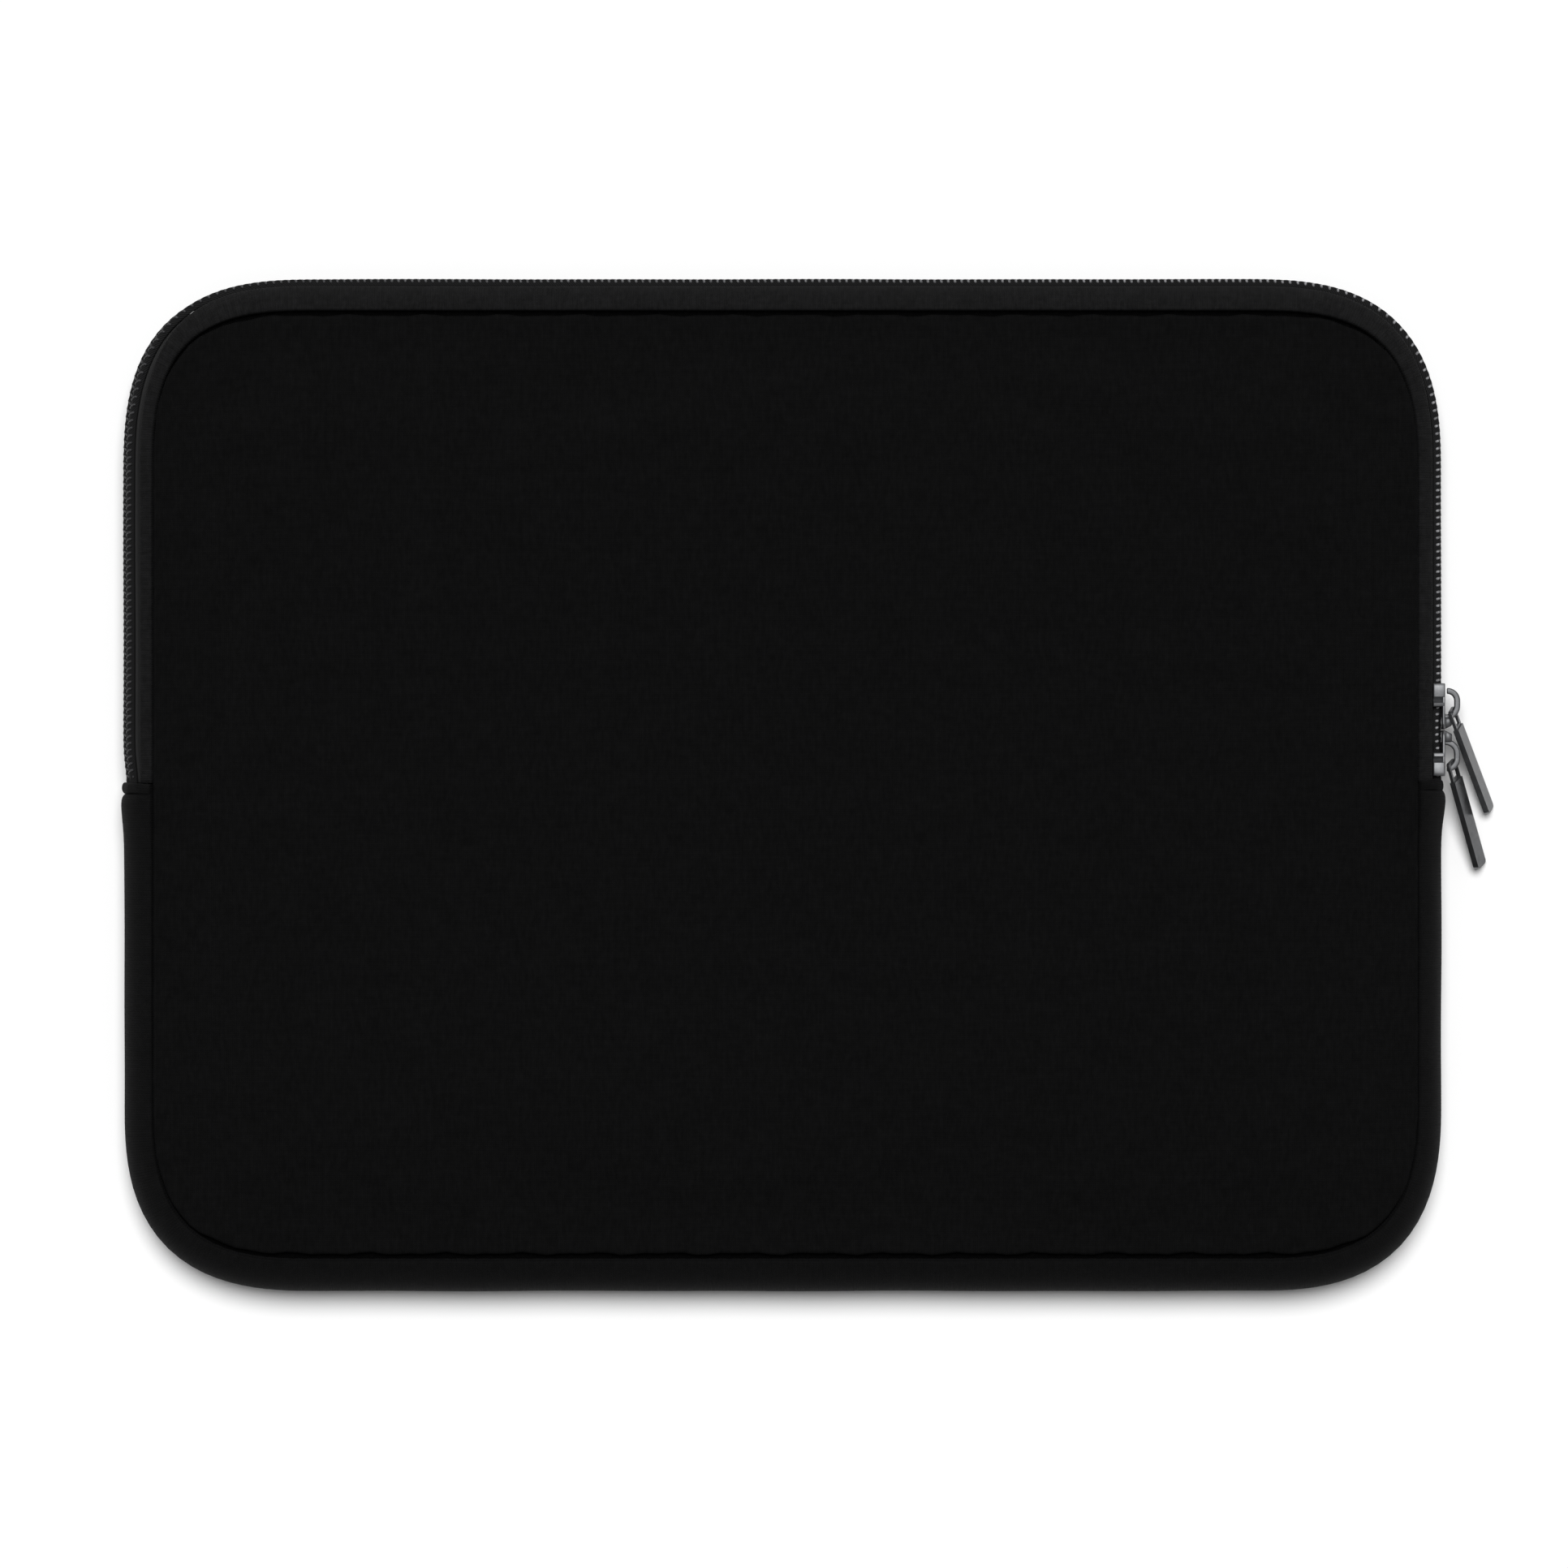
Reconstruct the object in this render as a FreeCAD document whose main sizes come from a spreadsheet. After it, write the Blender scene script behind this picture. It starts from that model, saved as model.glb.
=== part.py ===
import FreeCAD, Part
import math
import os
import Sketcher

# Laptop sleeve lying on its back panel: +X to the side with the parked sliders, +Y to the zipped
# mouth, +Z out of the front panel. The origin is the centre of the back panel's outside face.
#
# Around the edge every layer is a ring section (two radii and two angles) about one core line,
# core_inset inside the silhouette at half the depth, and is carried along that line.

SIZES = {
    # the whole sleeve
    "width": 340.0,
    "height": 261.0,
    "depth": 22.0,
    "corner_radius": 38.0,
    "core_inset": 10.25,
    # sheet goods: insets from the silhouette, radii and angles about the core line
    "panel_inset": 8.5,
    "panel_thickness": 3.0,
    "lining_inset": 9.3,
    "lining_thickness": 0.7,
    "gusset_outer": 10.25,
    "gusset_inner": 7.25,
    "seam_angle": 77.0,
    "gusset_lining_outer": 7.2,
    "gusset_lining_inner": 6.55,
    "gusset_lining_angle": 70.0,
    # zip: folded strips, tapes and coil rows
    "strip_outer": 10.25,
    "strip_inner": 8.25,
    "strip_angle": 34.0,
    "tape_outer": 8.2,
    "tape_inner": 7.6,
    "tape_angle": 4.0,
    "tape_end_angle": 62.0,
    "coil_outer": 10.2,
    "coil_inner": 8.25,
    "coil_angle": 3.2,
    "coil_end_angle": 17.5,
    # the zip's end line, the folded tab over its end, and the line that the mouth folds on
    "zip_end": 1.5,
    "tab_bottom": -1.3,
    "tab_outer": 10.75,
    "tab_inner": 7.9,
    "tab_angle": 71.0,
    "stub_end": 41.85,
    "flap_start": 42.15,
    # seam thread lying in the groove beside each panel
    "thread_radius": 0.35,
    "thread_inset": 7.55,
    "front_thread_level": 21.5,
    "back_thread_level": 0.5,
    # slider, in its own frame: radii and angles about the core line, lengths from its nose
    "nose_line": 14.4,
    "slider_start": 0.1,
    "slider_end": 11.9,
    "plate_outer": 11.25,
    "plate_inner": 10.4,
    "plate_angle": 24.0,
    "under_outer": 7.45,
    "under_inner": 6.65,
    "under_angle": 31.0,
    "flange_start": 6.0,
    "flange_inner": 8.4,
    "flange_outer": 10.6,
    "flange_angle": 19.2,
    "divider_end": 3.5,
    "divider_width": 0.6,
    # crown: the arch on the slider that holds the pull
    "crown_height": 3.85,
    "crown_thickness": 0.95,
    "crown_width": 1.1,
    "crown_root_bend": 3.3,
    "crown_tail_bend": 2.8,
    "crown_root": 2.4,
    "crown_tail": 10.8,
    "crown_end_gap": 0.5,
    # pull
    "pull_tip": 29.2,
    "pull_width": 4.7,
    "pull_thickness": 1.5,
    "pull_tip_radius": 0.9,
    "eye_width": 4.4,
    "eye_thickness": 0.8,
    "eye_top": 0.45,
    "eye_neck": 4.8,
    "eye_corner": 0.7,
    "slot_width": 3.0,
    "slot_top": -0.4,
    "slot_bottom": -4.1,
    # each pull's pivot: from its slider's nose, from the plate, and above mid-depth
    "upper_pivot_along": 4.9,
    "lower_pivot_along": 8.5,
    "upper_pivot_height": 1.7,
    "lower_pivot_height": 1.55,
    "pivot_rise": 0.55,
}

# How each pull hangs, in degrees: the swing out from the sleeve's side, the drop to the table and
# the twist about its own length.
PULLS = {
    "upper": {"swing": 22.0, "drop": 18.0, "twist": 26.0},
    "lower": {"swing": 17.0, "drop": 17.0, "twist": 34.0},
}

doc = FreeCAD.newDocument("laptop_sleeve")
parts = []


def make_sheet():
    """The driving dimensions, one per row, each with an alias."""
    sheet = doc.addObject("Spreadsheet::Sheet", "Sizes")
    for row, (alias, value) in enumerate(SIZES.items(), start=1):
        sheet.set(f"A{row}", alias)
        sheet.set(f"B{row}", str(value))
        sheet.setAlias(f"B{row}", alias)
    doc.recompute()


def new_body(label):
    """An empty body for one sub-part; its label names the file it is written to."""
    body = doc.addObject("PartDesign::Body", label)
    body.Label = label
    parts.append(body)
    return body


def new_sketch(body, role, offset=None):
    """A sketch on an origin plane of the body, moved off it by an expression along its normal."""
    sketch = body.newObject("Sketcher::SketchObject", body.Label + "_sketch")
    plane = [f for f in body.Origin.OriginFeatures if f.Role == role][0]
    sketch.AttachmentSupport = [(plane, "")]
    sketch.MapMode = "FlatFace"
    if offset:
        sketch.setExpression("AttachmentOffset.Base.z", offset)
    return sketch


def bind(sketch, kind, *where, name, value, formula):
    """Adds a dimension to a sketch and binds it to the sheet."""
    index = sketch.addConstraint(Sketcher.Constraint(kind, *where, value))
    sketch.renameConstraint(index, name)
    sketch.setExpression("Constraints." + name, formula)


def point(x, y):
    return FreeCAD.Vector(x, y, 0)


def arc(centre_x, centre_y, radius, start, end):
    """A circular arc in a sketch, anticlockwise between two angles in degrees."""
    circle = Part.Circle(point(centre_x, centre_y), FreeCAD.Vector(0, 0, 1), radius)
    return Part.ArcOfCircle(circle, math.radians(start), math.radians(end))


def ring_section(body, layer, low, high, on_axis=False, offset=None):
    """A layer's ring section about the core line, in the XZ plane.

    low and high are its end angles, each a sign and a name in the sheet. on_axis: the core line is
    the body's own axis, and the body is placed on it afterwards.
    """
    sketch = new_sketch(body, "XZ_Plane", offset)
    x = 0.0 if on_axis else SIZES["width"] / 2 - SIZES["core_inset"]
    y = 0.0 if on_axis else SIZES["depth"] / 2
    radii = (SIZES[layer + "_inner"], SIZES[layer + "_outer"])
    turns = [sign * SIZES[alias] for sign, alias in (low, high)]
    for radius in radii:
        sketch.addGeometry(arc(x, y, radius, *turns), False)
    for angle in turns:
        way = point(math.cos(math.radians(angle)), math.sin(math.radians(angle)))
        near, far = (point(x, y) + way * radius for radius in radii)
        sketch.addGeometry(Part.LineSegment(near, far), False)
    for line, vertex in ((2, 1), (3, 2)):
        sketch.addConstraint(Sketcher.Constraint("Coincident", 0, vertex, line, 1))
        sketch.addConstraint(Sketcher.Constraint("Coincident", 1, vertex, line, 2))
        sketch.addConstraint(Sketcher.Constraint("PointOnObject", 0, 3, line))
    sketch.addConstraint(Sketcher.Constraint("Coincident", 0, 3, 1, 3))
    for edge, name in ((0, "inner"), (1, "outer")):
        bind(sketch, "Radius", edge, name=name, value=radii[edge], formula=f"Sizes.{layer}_{name}")
    for line, (sign, alias) in ((2, low), (3, high)):
        angle = math.radians(sign * SIZES[alias])
        formula = f"{sign} * Sizes.{alias} * 1 deg"
        bind(sketch, "Angle", line, name=f"turn_{line}", value=angle, formula=formula)
    if on_axis:
        sketch.addConstraint(Sketcher.Constraint("Coincident", 0, 3, -1, 1))
    else:
        centre = (-1, 1, 0, 3)
        bind(sketch, "DistanceX", *centre, name="core_x", value=x, formula=CORE_X)
        bind(sketch, "DistanceY", *centre, name="core_z", value=y, formula=CORE_Z)
    return sketch


def arch_outline(body, inset, start, level, upper=True, closed=False):
    """The sleeve's outline, inset, from the right side round two corners to the left side.

    upper: it runs over the top, else under the bottom. closed: a straight line joins its ends.
    """
    sketch = new_sketch(body, "XY_Plane", level)
    sign = 1 if upper else -1
    x = SIZES["width"] / 2 - SIZES[inset]
    y = sign * (SIZES["height"] / 2 - SIZES[inset])
    radius = SIZES["corner_radius"] - SIZES[inset]
    middle = y - sign * radius
    ends = SIZES[start]
    right, left = ((0, 90), (90, 180)) if upper else ((270, 360), (180, 270))
    sketch.addGeometry(Part.LineSegment(point(x, ends), point(x, middle)), False)
    sketch.addGeometry(arc(x - radius, middle, radius, *right), False)
    sketch.addGeometry(Part.LineSegment(point(x - radius, y), point(radius - x, y)), False)
    sketch.addGeometry(arc(radius - x, middle, radius, *left), False)
    sketch.addGeometry(Part.LineSegment(point(-x, middle), point(-x, ends)), False)
    near, far = (1, 2) if upper else (2, 1)
    for joint in ((0, 2, 1, near), (1, far, 2, 1), (2, 2, 3, near), (3, far, 4, 1)):
        sketch.addConstraint(Sketcher.Constraint("Tangent", *joint))
    sketch.addConstraint(Sketcher.Constraint("Horizontal", 2))
    sketch.addConstraint(Sketcher.Constraint("Vertical", 0))
    sketch.addConstraint(Sketcher.Constraint("Vertical", 4))
    sketch.addConstraint(Sketcher.Constraint("Symmetric", 0, 1, 4, 2, -2))
    sketch.addConstraint(Sketcher.Constraint("Equal", 1, 3))
    bind_outline(sketch, inset, x, y, radius, sign)
    bind(sketch, "DistanceY", -1, 1, 0, 1, name="start", value=ends, formula="Sizes." + start)
    if closed:
        sketch.addGeometry(Part.LineSegment(point(-x, ends), point(x, ends)), False)
        sketch.addConstraint(Sketcher.Constraint("Coincident", 4, 2, 5, 1))
        sketch.addConstraint(Sketcher.Constraint("Coincident", 5, 2, 0, 1))
    return sketch


def whole_outline(body, inset, level):
    """The sleeve's whole outline, inset: a rounded rectangle about the origin."""
    sketch = new_sketch(body, "XY_Plane", level)
    x = SIZES["width"] / 2 - SIZES[inset]
    y = SIZES["height"] / 2 - SIZES[inset]
    radius = SIZES["corner_radius"] - SIZES[inset]
    across, up = x - radius, y - radius
    corners = ((across, up), (-across, up), (-across, -up), (across, -up))
    sides = (
        (point(x, -up), point(x, up)),
        (point(across, y), point(-across, y)),
        (point(-x, up), point(-x, -up)),
        (point(-across, -y), point(across, -y)),
    )
    for quarter, (corner, side) in enumerate(zip(corners, sides)):
        sketch.addGeometry(Part.LineSegment(*side), False)
        sketch.addGeometry(arc(*corner, radius, 90 * quarter, 90 * quarter + 90), False)
    edges = len(corners) + len(sides)
    for edge in range(edges):
        sketch.addConstraint(Sketcher.Constraint("Tangent", edge, 2, (edge + 1) % edges, 1))
    for side, way in ((0, "Vertical"), (2, "Horizontal"), (4, "Vertical"), (6, "Horizontal")):
        sketch.addConstraint(Sketcher.Constraint(way, side))
    for corner in (1, 3, 5):
        sketch.addConstraint(Sketcher.Constraint("Equal", corner, corner + 2))
    sketch.addConstraint(Sketcher.Constraint("Symmetric", 1, 3, 5, 3, -1, 1))
    bind_outline(sketch, inset, x, y, radius, 1)
    return sketch


def bind_outline(sketch, inset, x, y, radius, sign):
    """Binds an outline's right side, its top or bottom and its corners to the sheet."""
    side = f"Sizes.width / 2 - Sizes.{inset}"
    end = f"{sign} * (Sizes.height / 2 - Sizes.{inset})"
    corner = f"Sizes.corner_radius - Sizes.{inset}"
    bind(sketch, "DistanceX", -1, 1, 0, 1, name="side", value=x, formula=side)
    bind(sketch, "DistanceY", -1, 1, 2, 1, name="end", value=y, formula=end)
    bind(sketch, "Radius", 1, name="corner", value=radius, formula=corner)


def pad(body, sketch, length, midplane=False, reverse=False):
    """Pads a sketch by an expression."""
    feature = body.newObject("PartDesign::Pad", body.Label + "_pad")
    feature.Profile = sketch
    feature.setExpression("Length", length)
    feature.Midplane = midplane
    feature.Reversed = reverse


def sweep(body, section, path):
    """Carries a section along a path."""
    feature = body.newObject("PartDesign::AdditivePipe", body.Label + "_pipe")
    feature.Profile = section
    feature.Spine = (path, [])


def sheet_part(label, outline, thickness, **shape):
    """A flat sheet of the outline's shape, its underside at the outline's level."""
    body = new_body(label)
    pad(body, outline(body, **shape), "Sizes." + thickness)


def edge_band(label, layer, low, high, start, upper=True):
    """A layer of the rounded edge, carried round the top or the bottom of the sleeve."""
    body = new_body(label)
    section = ring_section(body, layer, low, high, offset=f"-Sizes.{start}")
    sweep(body, section, arch_outline(body, "core_inset", start, CORE_Z, upper=upper))


def straight_band(label, layer, low, high, start, end, side):
    """A short straight run of an edge layer on the right (+1) or left (-1) side."""
    body = new_body(label)
    section = ring_section(body, layer, low, high, on_axis=True, offset=f"-Sizes.{start}")
    pad(body, section, f"Sizes.{end} - Sizes.{start}", reverse=True)
    if side < 0:
        # half a turn about the run's middle carries it to the left side
        body.Placement = FreeCAD.Placement(FreeCAD.Vector(), FreeCAD.Rotation(180, 0, 0))
        body.setExpression("Placement.Base.y", f"Sizes.{end} + Sizes.{start}")
    body.setExpression("Placement.Base.x", f"{side} * ({CORE_X})")
    body.setExpression("Placement.Base.z", CORE_Z)


def thread(label, path, level, start):
    """Seam thread: a round section carried along a path that starts on the right side."""
    body = new_body(label)
    section = new_sketch(body, "XZ_Plane", start)
    x = SIZES["width"] / 2 - SIZES["thread_inset"]
    z = SIZES[level]
    circle = Part.Circle(point(x, z), FreeCAD.Vector(0, 0, 1), SIZES["thread_radius"])
    section.addGeometry(circle, False)
    centre = (-1, 1, 0, 3)
    bind(section, "Radius", 0, name="radius", value=circle.Radius, formula="Sizes.thread_radius")
    bind(section, "DistanceX", *centre, name="side", value=x,
         formula="Sizes.width / 2 - Sizes.thread_inset")
    bind(section, "DistanceY", *centre, name="level", value=z, formula="Sizes." + level)
    sweep(body, section, path(body, inset="thread_inset", level="Sizes." + level))


def rectangle(sketch, left, right, bottom, top):
    """Adds a rectangle whose four sides are expressions with their present values."""
    (x0, left), (x1, right), (y0, bottom), (y1, top) = left, right, bottom, top
    corners = [point(x0, y0), point(x1, y0), point(x1, y1), point(x0, y1)]
    for index in range(4):
        edge = Part.LineSegment(corners[index], corners[(index + 1) % 4])
        sketch.addGeometry(edge, False)
    for index in range(4):
        sketch.addConstraint(Sketcher.Constraint("Coincident", index, 2, (index + 1) % 4, 1))
    for index, way in enumerate(("Horizontal", "Vertical", "Horizontal", "Vertical")):
        sketch.addConstraint(Sketcher.Constraint(way, index))
    bind(sketch, "DistanceX", -1, 1, 0, 1, name="left", value=x0, formula=left)
    bind(sketch, "DistanceX", -1, 1, 1, 1, name="right", value=x1, formula=right)
    bind(sketch, "DistanceY", -1, 1, 0, 1, name="bottom", value=y0, formula=bottom)
    bind(sketch, "DistanceY", -1, 1, 2, 1, name="top", value=y1, formula=top)


def slider(label, nose_up):
    """A slider's body, built about the core line with its nose at y 0 and its tail at +y."""
    body = new_body(label)
    wings = (-1, "plate_angle"), (1, "plate_angle")
    length = "Sizes.slider_end - Sizes.slider_start"
    plate = ring_section(body, "plate", *wings, on_axis=True, offset="-Sizes.slider_start")
    pad(body, plate, length, reverse=True)
    divider = new_sketch(body, "XZ_Plane", "-Sizes.slider_start")
    half = SIZES["divider_width"] / 2
    reach = (SIZES["plate_inner"] + SIZES["plate_outer"]) / 2
    depth = (SIZES["under_inner"] + SIZES["under_outer"]) / 2
    rectangle(divider, (depth, "(Sizes.under_inner + Sizes.under_outer) / 2"),
              (reach, "(Sizes.plate_inner + Sizes.plate_outer) / 2"),
              (-half, "-Sizes.divider_width / 2"), (half, "Sizes.divider_width / 2"))
    pad(body, divider, "Sizes.divider_end - Sizes.slider_start", reverse=True)
    under = ring_section(body, "under", (-1, "under_angle"), (1, "under_angle"), on_axis=True,
                         offset="-Sizes.slider_start")
    pad(body, under, length, reverse=True)
    for low, high in (((1, "flange_angle"), (1, "plate_angle")),
                      ((-1, "plate_angle"), (-1, "flange_angle"))):
        flange = ring_section(body, "flange", low, high, on_axis=True,
                              offset="-Sizes.flange_start")
        pad(body, flange, "Sizes.slider_end - Sizes.flange_start", reverse=True)
    place_slider_piece(body, nose_up)


def place_slider_piece(body, nose_up):
    """Puts a slider's piece on the closed chain of the right side, its nose on the nose line."""
    if nose_up:
        body.Placement = FreeCAD.Placement(FreeCAD.Vector(), FreeCAD.Rotation(0, 0, 180))
    body.setExpression("Placement.Base.x", CORE_X)
    body.setExpression("Placement.Base.y", "Sizes.nose_line")
    body.setExpression("Placement.Base.z", CORE_Z)


def crown(label, nose_up):
    """The arch on a slider: rooted near the nose, with a blunt free end just off the tail."""
    body = new_body(label)
    base = SIZES["plate_outer"]
    half = SIZES["crown_thickness"] / 2
    root_bend, tail_bend = SIZES["crown_root_bend"], SIZES["crown_tail_bend"]
    top = base + SIZES["crown_height"] - half
    root, tail = SIZES["crown_root"] + half, SIZES["crown_tail"] - half
    free = base + SIZES["crown_end_gap"]
    path = new_sketch(body, "XY_Plane")
    low, high = root + root_bend, tail - tail_bend
    path.addGeometry(Part.LineSegment(point(base, root), point(top - root_bend, root)), False)
    path.addGeometry(arc(top - root_bend, low, root_bend, 270, 360), False)
    path.addGeometry(Part.LineSegment(point(top, low), point(top, high)), False)
    path.addGeometry(arc(top - tail_bend, high, tail_bend, 0, 90), False)
    path.addGeometry(Part.LineSegment(point(top - tail_bend, tail), point(free, tail)), False)
    for edge in range(4):
        path.addConstraint(Sketcher.Constraint("Tangent", edge, 2, edge + 1, 1))
    path.addConstraint(Sketcher.Constraint("Horizontal", 0))
    path.addConstraint(Sketcher.Constraint("Vertical", 2))
    path.addConstraint(Sketcher.Constraint("Horizontal", 4))
    middle = "Sizes.crown_thickness / 2"
    for edge, name, bend in ((1, "root_bend", root_bend), (3, "tail_bend", tail_bend)):
        bind(path, "Radius", edge, name=name, value=bend, formula="Sizes.crown_" + name)
    bind(path, "DistanceX", -1, 1, 0, 1, name="base", value=base, formula="Sizes.plate_outer")
    bind(path, "DistanceY", -1, 1, 0, 1, name="root", value=root,
         formula=f"Sizes.crown_root + {middle}")
    bind(path, "DistanceX", -1, 1, 2, 1, name="top", value=top,
         formula=f"Sizes.plate_outer + Sizes.crown_height - {middle}")
    bind(path, "DistanceY", -1, 1, 4, 2, name="tail", value=tail,
         formula=f"Sizes.crown_tail - {middle}")
    bind(path, "DistanceX", -1, 1, 4, 2, name="free", value=free,
         formula="Sizes.plate_outer + Sizes.crown_end_gap")
    section = new_sketch(body, "YZ_Plane", "Sizes.plate_outer")
    wide = SIZES["crown_width"] / 2
    rectangle(section, (root - half, "Sizes.crown_root"),
              (root + half, "Sizes.crown_root + Sizes.crown_thickness"),
              (-wide, "-Sizes.crown_width / 2"), (wide, "Sizes.crown_width / 2"))
    sweep(body, section, path)
    place_slider_piece(body, nose_up)


def pull(which, hang, nose_up):
    """A pull: a flat blade with a thinner slotted eye, its bar on the pivot, hanging along -y."""
    label = which + "_pull"
    body = new_body(label)
    blade = new_sketch(body, "YZ_Plane")
    wide = SIZES["pull_width"] / 2
    neck = -SIZES["eye_neck"]
    rectangle(blade, (-SIZES["pull_tip"], "-Sizes.pull_tip"), (neck, "-Sizes.eye_neck"),
              (-wide, "-Sizes.pull_width / 2"), (wide, "Sizes.pull_width / 2"))
    pad(body, blade, "Sizes.pull_thickness", midplane=True)
    eye = new_sketch(body, "YZ_Plane")
    narrow = SIZES["eye_width"] / 2
    rectangle(eye, (neck, "-Sizes.eye_neck"), (SIZES["eye_top"], "Sizes.eye_top"),
              (-narrow, "-Sizes.eye_width / 2"), (narrow, "Sizes.eye_width / 2"))
    pad(body, eye, "Sizes.eye_thickness", midplane=True)
    slot = new_sketch(body, "YZ_Plane")
    gap = SIZES["slot_width"] / 2
    rectangle(slot, (SIZES["slot_bottom"], "Sizes.slot_bottom"),
              (SIZES["slot_top"], "Sizes.slot_top"),
              (-gap, "-Sizes.slot_width / 2"), (gap, "Sizes.slot_width / 2"))
    cut = body.newObject("PartDesign::Pocket", label + "_slot")
    cut.Profile = slot
    cut.Type = "ThroughAll"
    cut.Midplane = True
    doc.recompute()
    round_corners(body, label + "_tip", -SIZES["pull_tip"], "Sizes.pull_tip_radius")
    round_corners(body, label + "_eye", SIZES["eye_top"], "Sizes.eye_corner")
    swing = FreeCAD.Rotation(FreeCAD.Vector(0, 0, 1), hang["swing"])
    drop = FreeCAD.Rotation(FreeCAD.Vector(1, 0, 0), hang["drop"])
    twist = FreeCAD.Rotation(FreeCAD.Vector(0, 1, 0), -hang["twist"])
    way = -1 if nose_up else 1
    body.Placement = FreeCAD.Placement(FreeCAD.Vector(), swing * drop * twist)
    body.setExpression("Placement.Base.x",
                       f"{CORE_X} + Sizes.plate_outer + Sizes.{which}_pivot_height")
    body.setExpression("Placement.Base.y", f"Sizes.nose_line + {way} * Sizes.{which}_pivot_along")
    body.setExpression("Placement.Base.z", CORE_Z + " + Sizes.pivot_rise")


def round_corners(body, name, end, radius):
    """Rounds the two corners of a pull at one end: the edges along x that lie at y = end."""
    base = body.Tip
    edges = []
    for index, edge in enumerate(base.Shape.Edges, start=1):
        box = edge.BoundBox
        if box.XLength > 0.1 and box.YLength < 0.01 and box.ZLength < 0.01:
            if abs(box.YMin - end) < 0.01:
                edges.append(f"Edge{index}")
    fillet = body.newObject("PartDesign::Fillet", name)
    fillet.Base = (base, edges)
    fillet.setExpression("Radius", radius)
    doc.recompute()


CORE_X = "Sizes.width / 2 - Sizes.core_inset"
CORE_Z = "Sizes.depth / 2"
FRONT_PANEL = "Sizes.depth - Sizes.panel_thickness"
FRONT_LINING = FRONT_PANEL + " - Sizes.lining_thickness"
STRIP = ((1, "strip_angle"), (1, "seam_angle"))
TAPE = ((1, "tape_angle"), (1, "tape_end_angle"))
COIL = ((1, "coil_angle"), (1, "coil_end_angle"))


def below(band):
    """The same band on the back half: below mid-depth."""
    (_, near), (_, far) = band
    return (-1, far), (-1, near)


def main_body():
    """The pieces that stay together: back, lower front, bottom gusset and the zip's back half."""
    panel = {"inset": "panel_inset", "thickness": "panel_thickness"}
    lining = {"inset": "lining_inset", "thickness": "lining_thickness"}
    lower = {"start": "stub_end", "upper": False, "closed": True}
    sheet_part("back_panel", whole_outline, level=None, **panel)
    sheet_part("back_lining", whole_outline, level="Sizes.panel_thickness", **lining)
    sheet_part("front_panel_lower", arch_outline, level=FRONT_PANEL, **panel, **lower)
    sheet_part("front_lining_lower", arch_outline, level=FRONT_LINING, **lining, **lower)
    edge_band("gusset", "gusset", (-1, "seam_angle"), (1, "seam_angle"), "tab_bottom", False)
    edge_band("gusset_lining", "gusset_lining", (-1, "gusset_lining_angle"),
              (1, "gusset_lining_angle"), "tab_bottom", False)
    edge_band("back_zip_strip", "strip", *below(STRIP), "zip_end")
    edge_band("back_zip_tape", "tape", *below(TAPE), "zip_end")
    edge_band("back_zip_coil", "coil", *below(COIL), "zip_end")
    for word, side in (("right", 1), ("left", -1)):
        stub = {"start": "zip_end", "end": "stub_end", "side": side}
        straight_band(f"front_strip_end_{word}", "strip", *STRIP, **stub)
        straight_band(f"front_tape_end_{word}", "tape", *TAPE, **stub)
        straight_band(f"front_coil_end_{word}", "coil", *COIL, **stub)
        straight_band(f"end_tab_{word}", "tab", (-1, "tab_angle"), (1, "tab_angle"),
                      "tab_bottom", "zip_end", side)


def flap():
    """The upper front, which folds back with the zip's front half."""
    upper = {"start": "flap_start", "closed": True}
    sheet_part("front_panel_upper", arch_outline, "panel_thickness", inset="panel_inset",
               level=FRONT_PANEL, **upper)
    sheet_part("front_lining_upper", arch_outline, "lining_thickness", inset="lining_inset",
               level=FRONT_LINING, **upper)
    edge_band("front_zip_strip", "strip", *STRIP, "flap_start")
    edge_band("front_zip_tape", "tape", *TAPE, "flap_start")
    edge_band("front_zip_coil", "coil", *COIL, "flap_start")


def seam_threads():
    """The thread in the groove along each panel's seam; the front one is in two runs."""
    def lower(body, **place):
        return arch_outline(body, start="stub_end", upper=False, **place)

    def upper(body, **place):
        return arch_outline(body, start="flap_start", **place)

    thread("front_seam_thread_lower", lower, "front_thread_level", "-Sizes.stub_end")
    thread("front_seam_thread_upper", upper, "front_thread_level", "-Sizes.flap_start")
    back_start = "Sizes.height / 2 - Sizes.corner_radius"
    thread("back_seam_thread", whole_outline, "back_thread_level", back_start)


def sliders():
    """Two sliders nose to nose, each with its crown and pull. The lower one has its nose up."""
    for word, nose_up in (("upper", False), ("lower", True)):
        slider(f"{word}_slider", nose_up)
        crown(f"{word}_crown", nose_up)
        pull(word, PULLS[word], nose_up)


def check():
    """Stops if any object failed or any sub-part isn't one or more valid solids."""
    failed = [item.Label for item in doc.Objects if {"Invalid", "Error"} & set(item.State)]
    for body in parts:
        if body.Shape.isNull() or not body.Shape.isValid() or body.Shape.Volume <= 0:
            failed.append(body.Label)
    if failed:
        raise SystemExit("failed: " + ", ".join(failed))


def write():
    """Writes each sub-part to its own STEP file."""
    os.makedirs("parts", exist_ok=True)
    for body in parts:
        body.Shape.exportStep(f"parts/{body.Label}.step")
        box = body.Shape.BoundBox
        print(f"{body.Label:26s} {body.Shape.Volume:10.1f} mm3  "
              f"{box.XLength:6.1f} x {box.YLength:6.1f} x {box.ZLength:5.1f}")


make_sheet()
main_body()
flap()
seam_threads()
sliders()
doc.recompute()
check()
write()
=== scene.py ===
import math

import bmesh
import bpy
import numpy as np
from mathutils import Matrix, Vector


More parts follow.
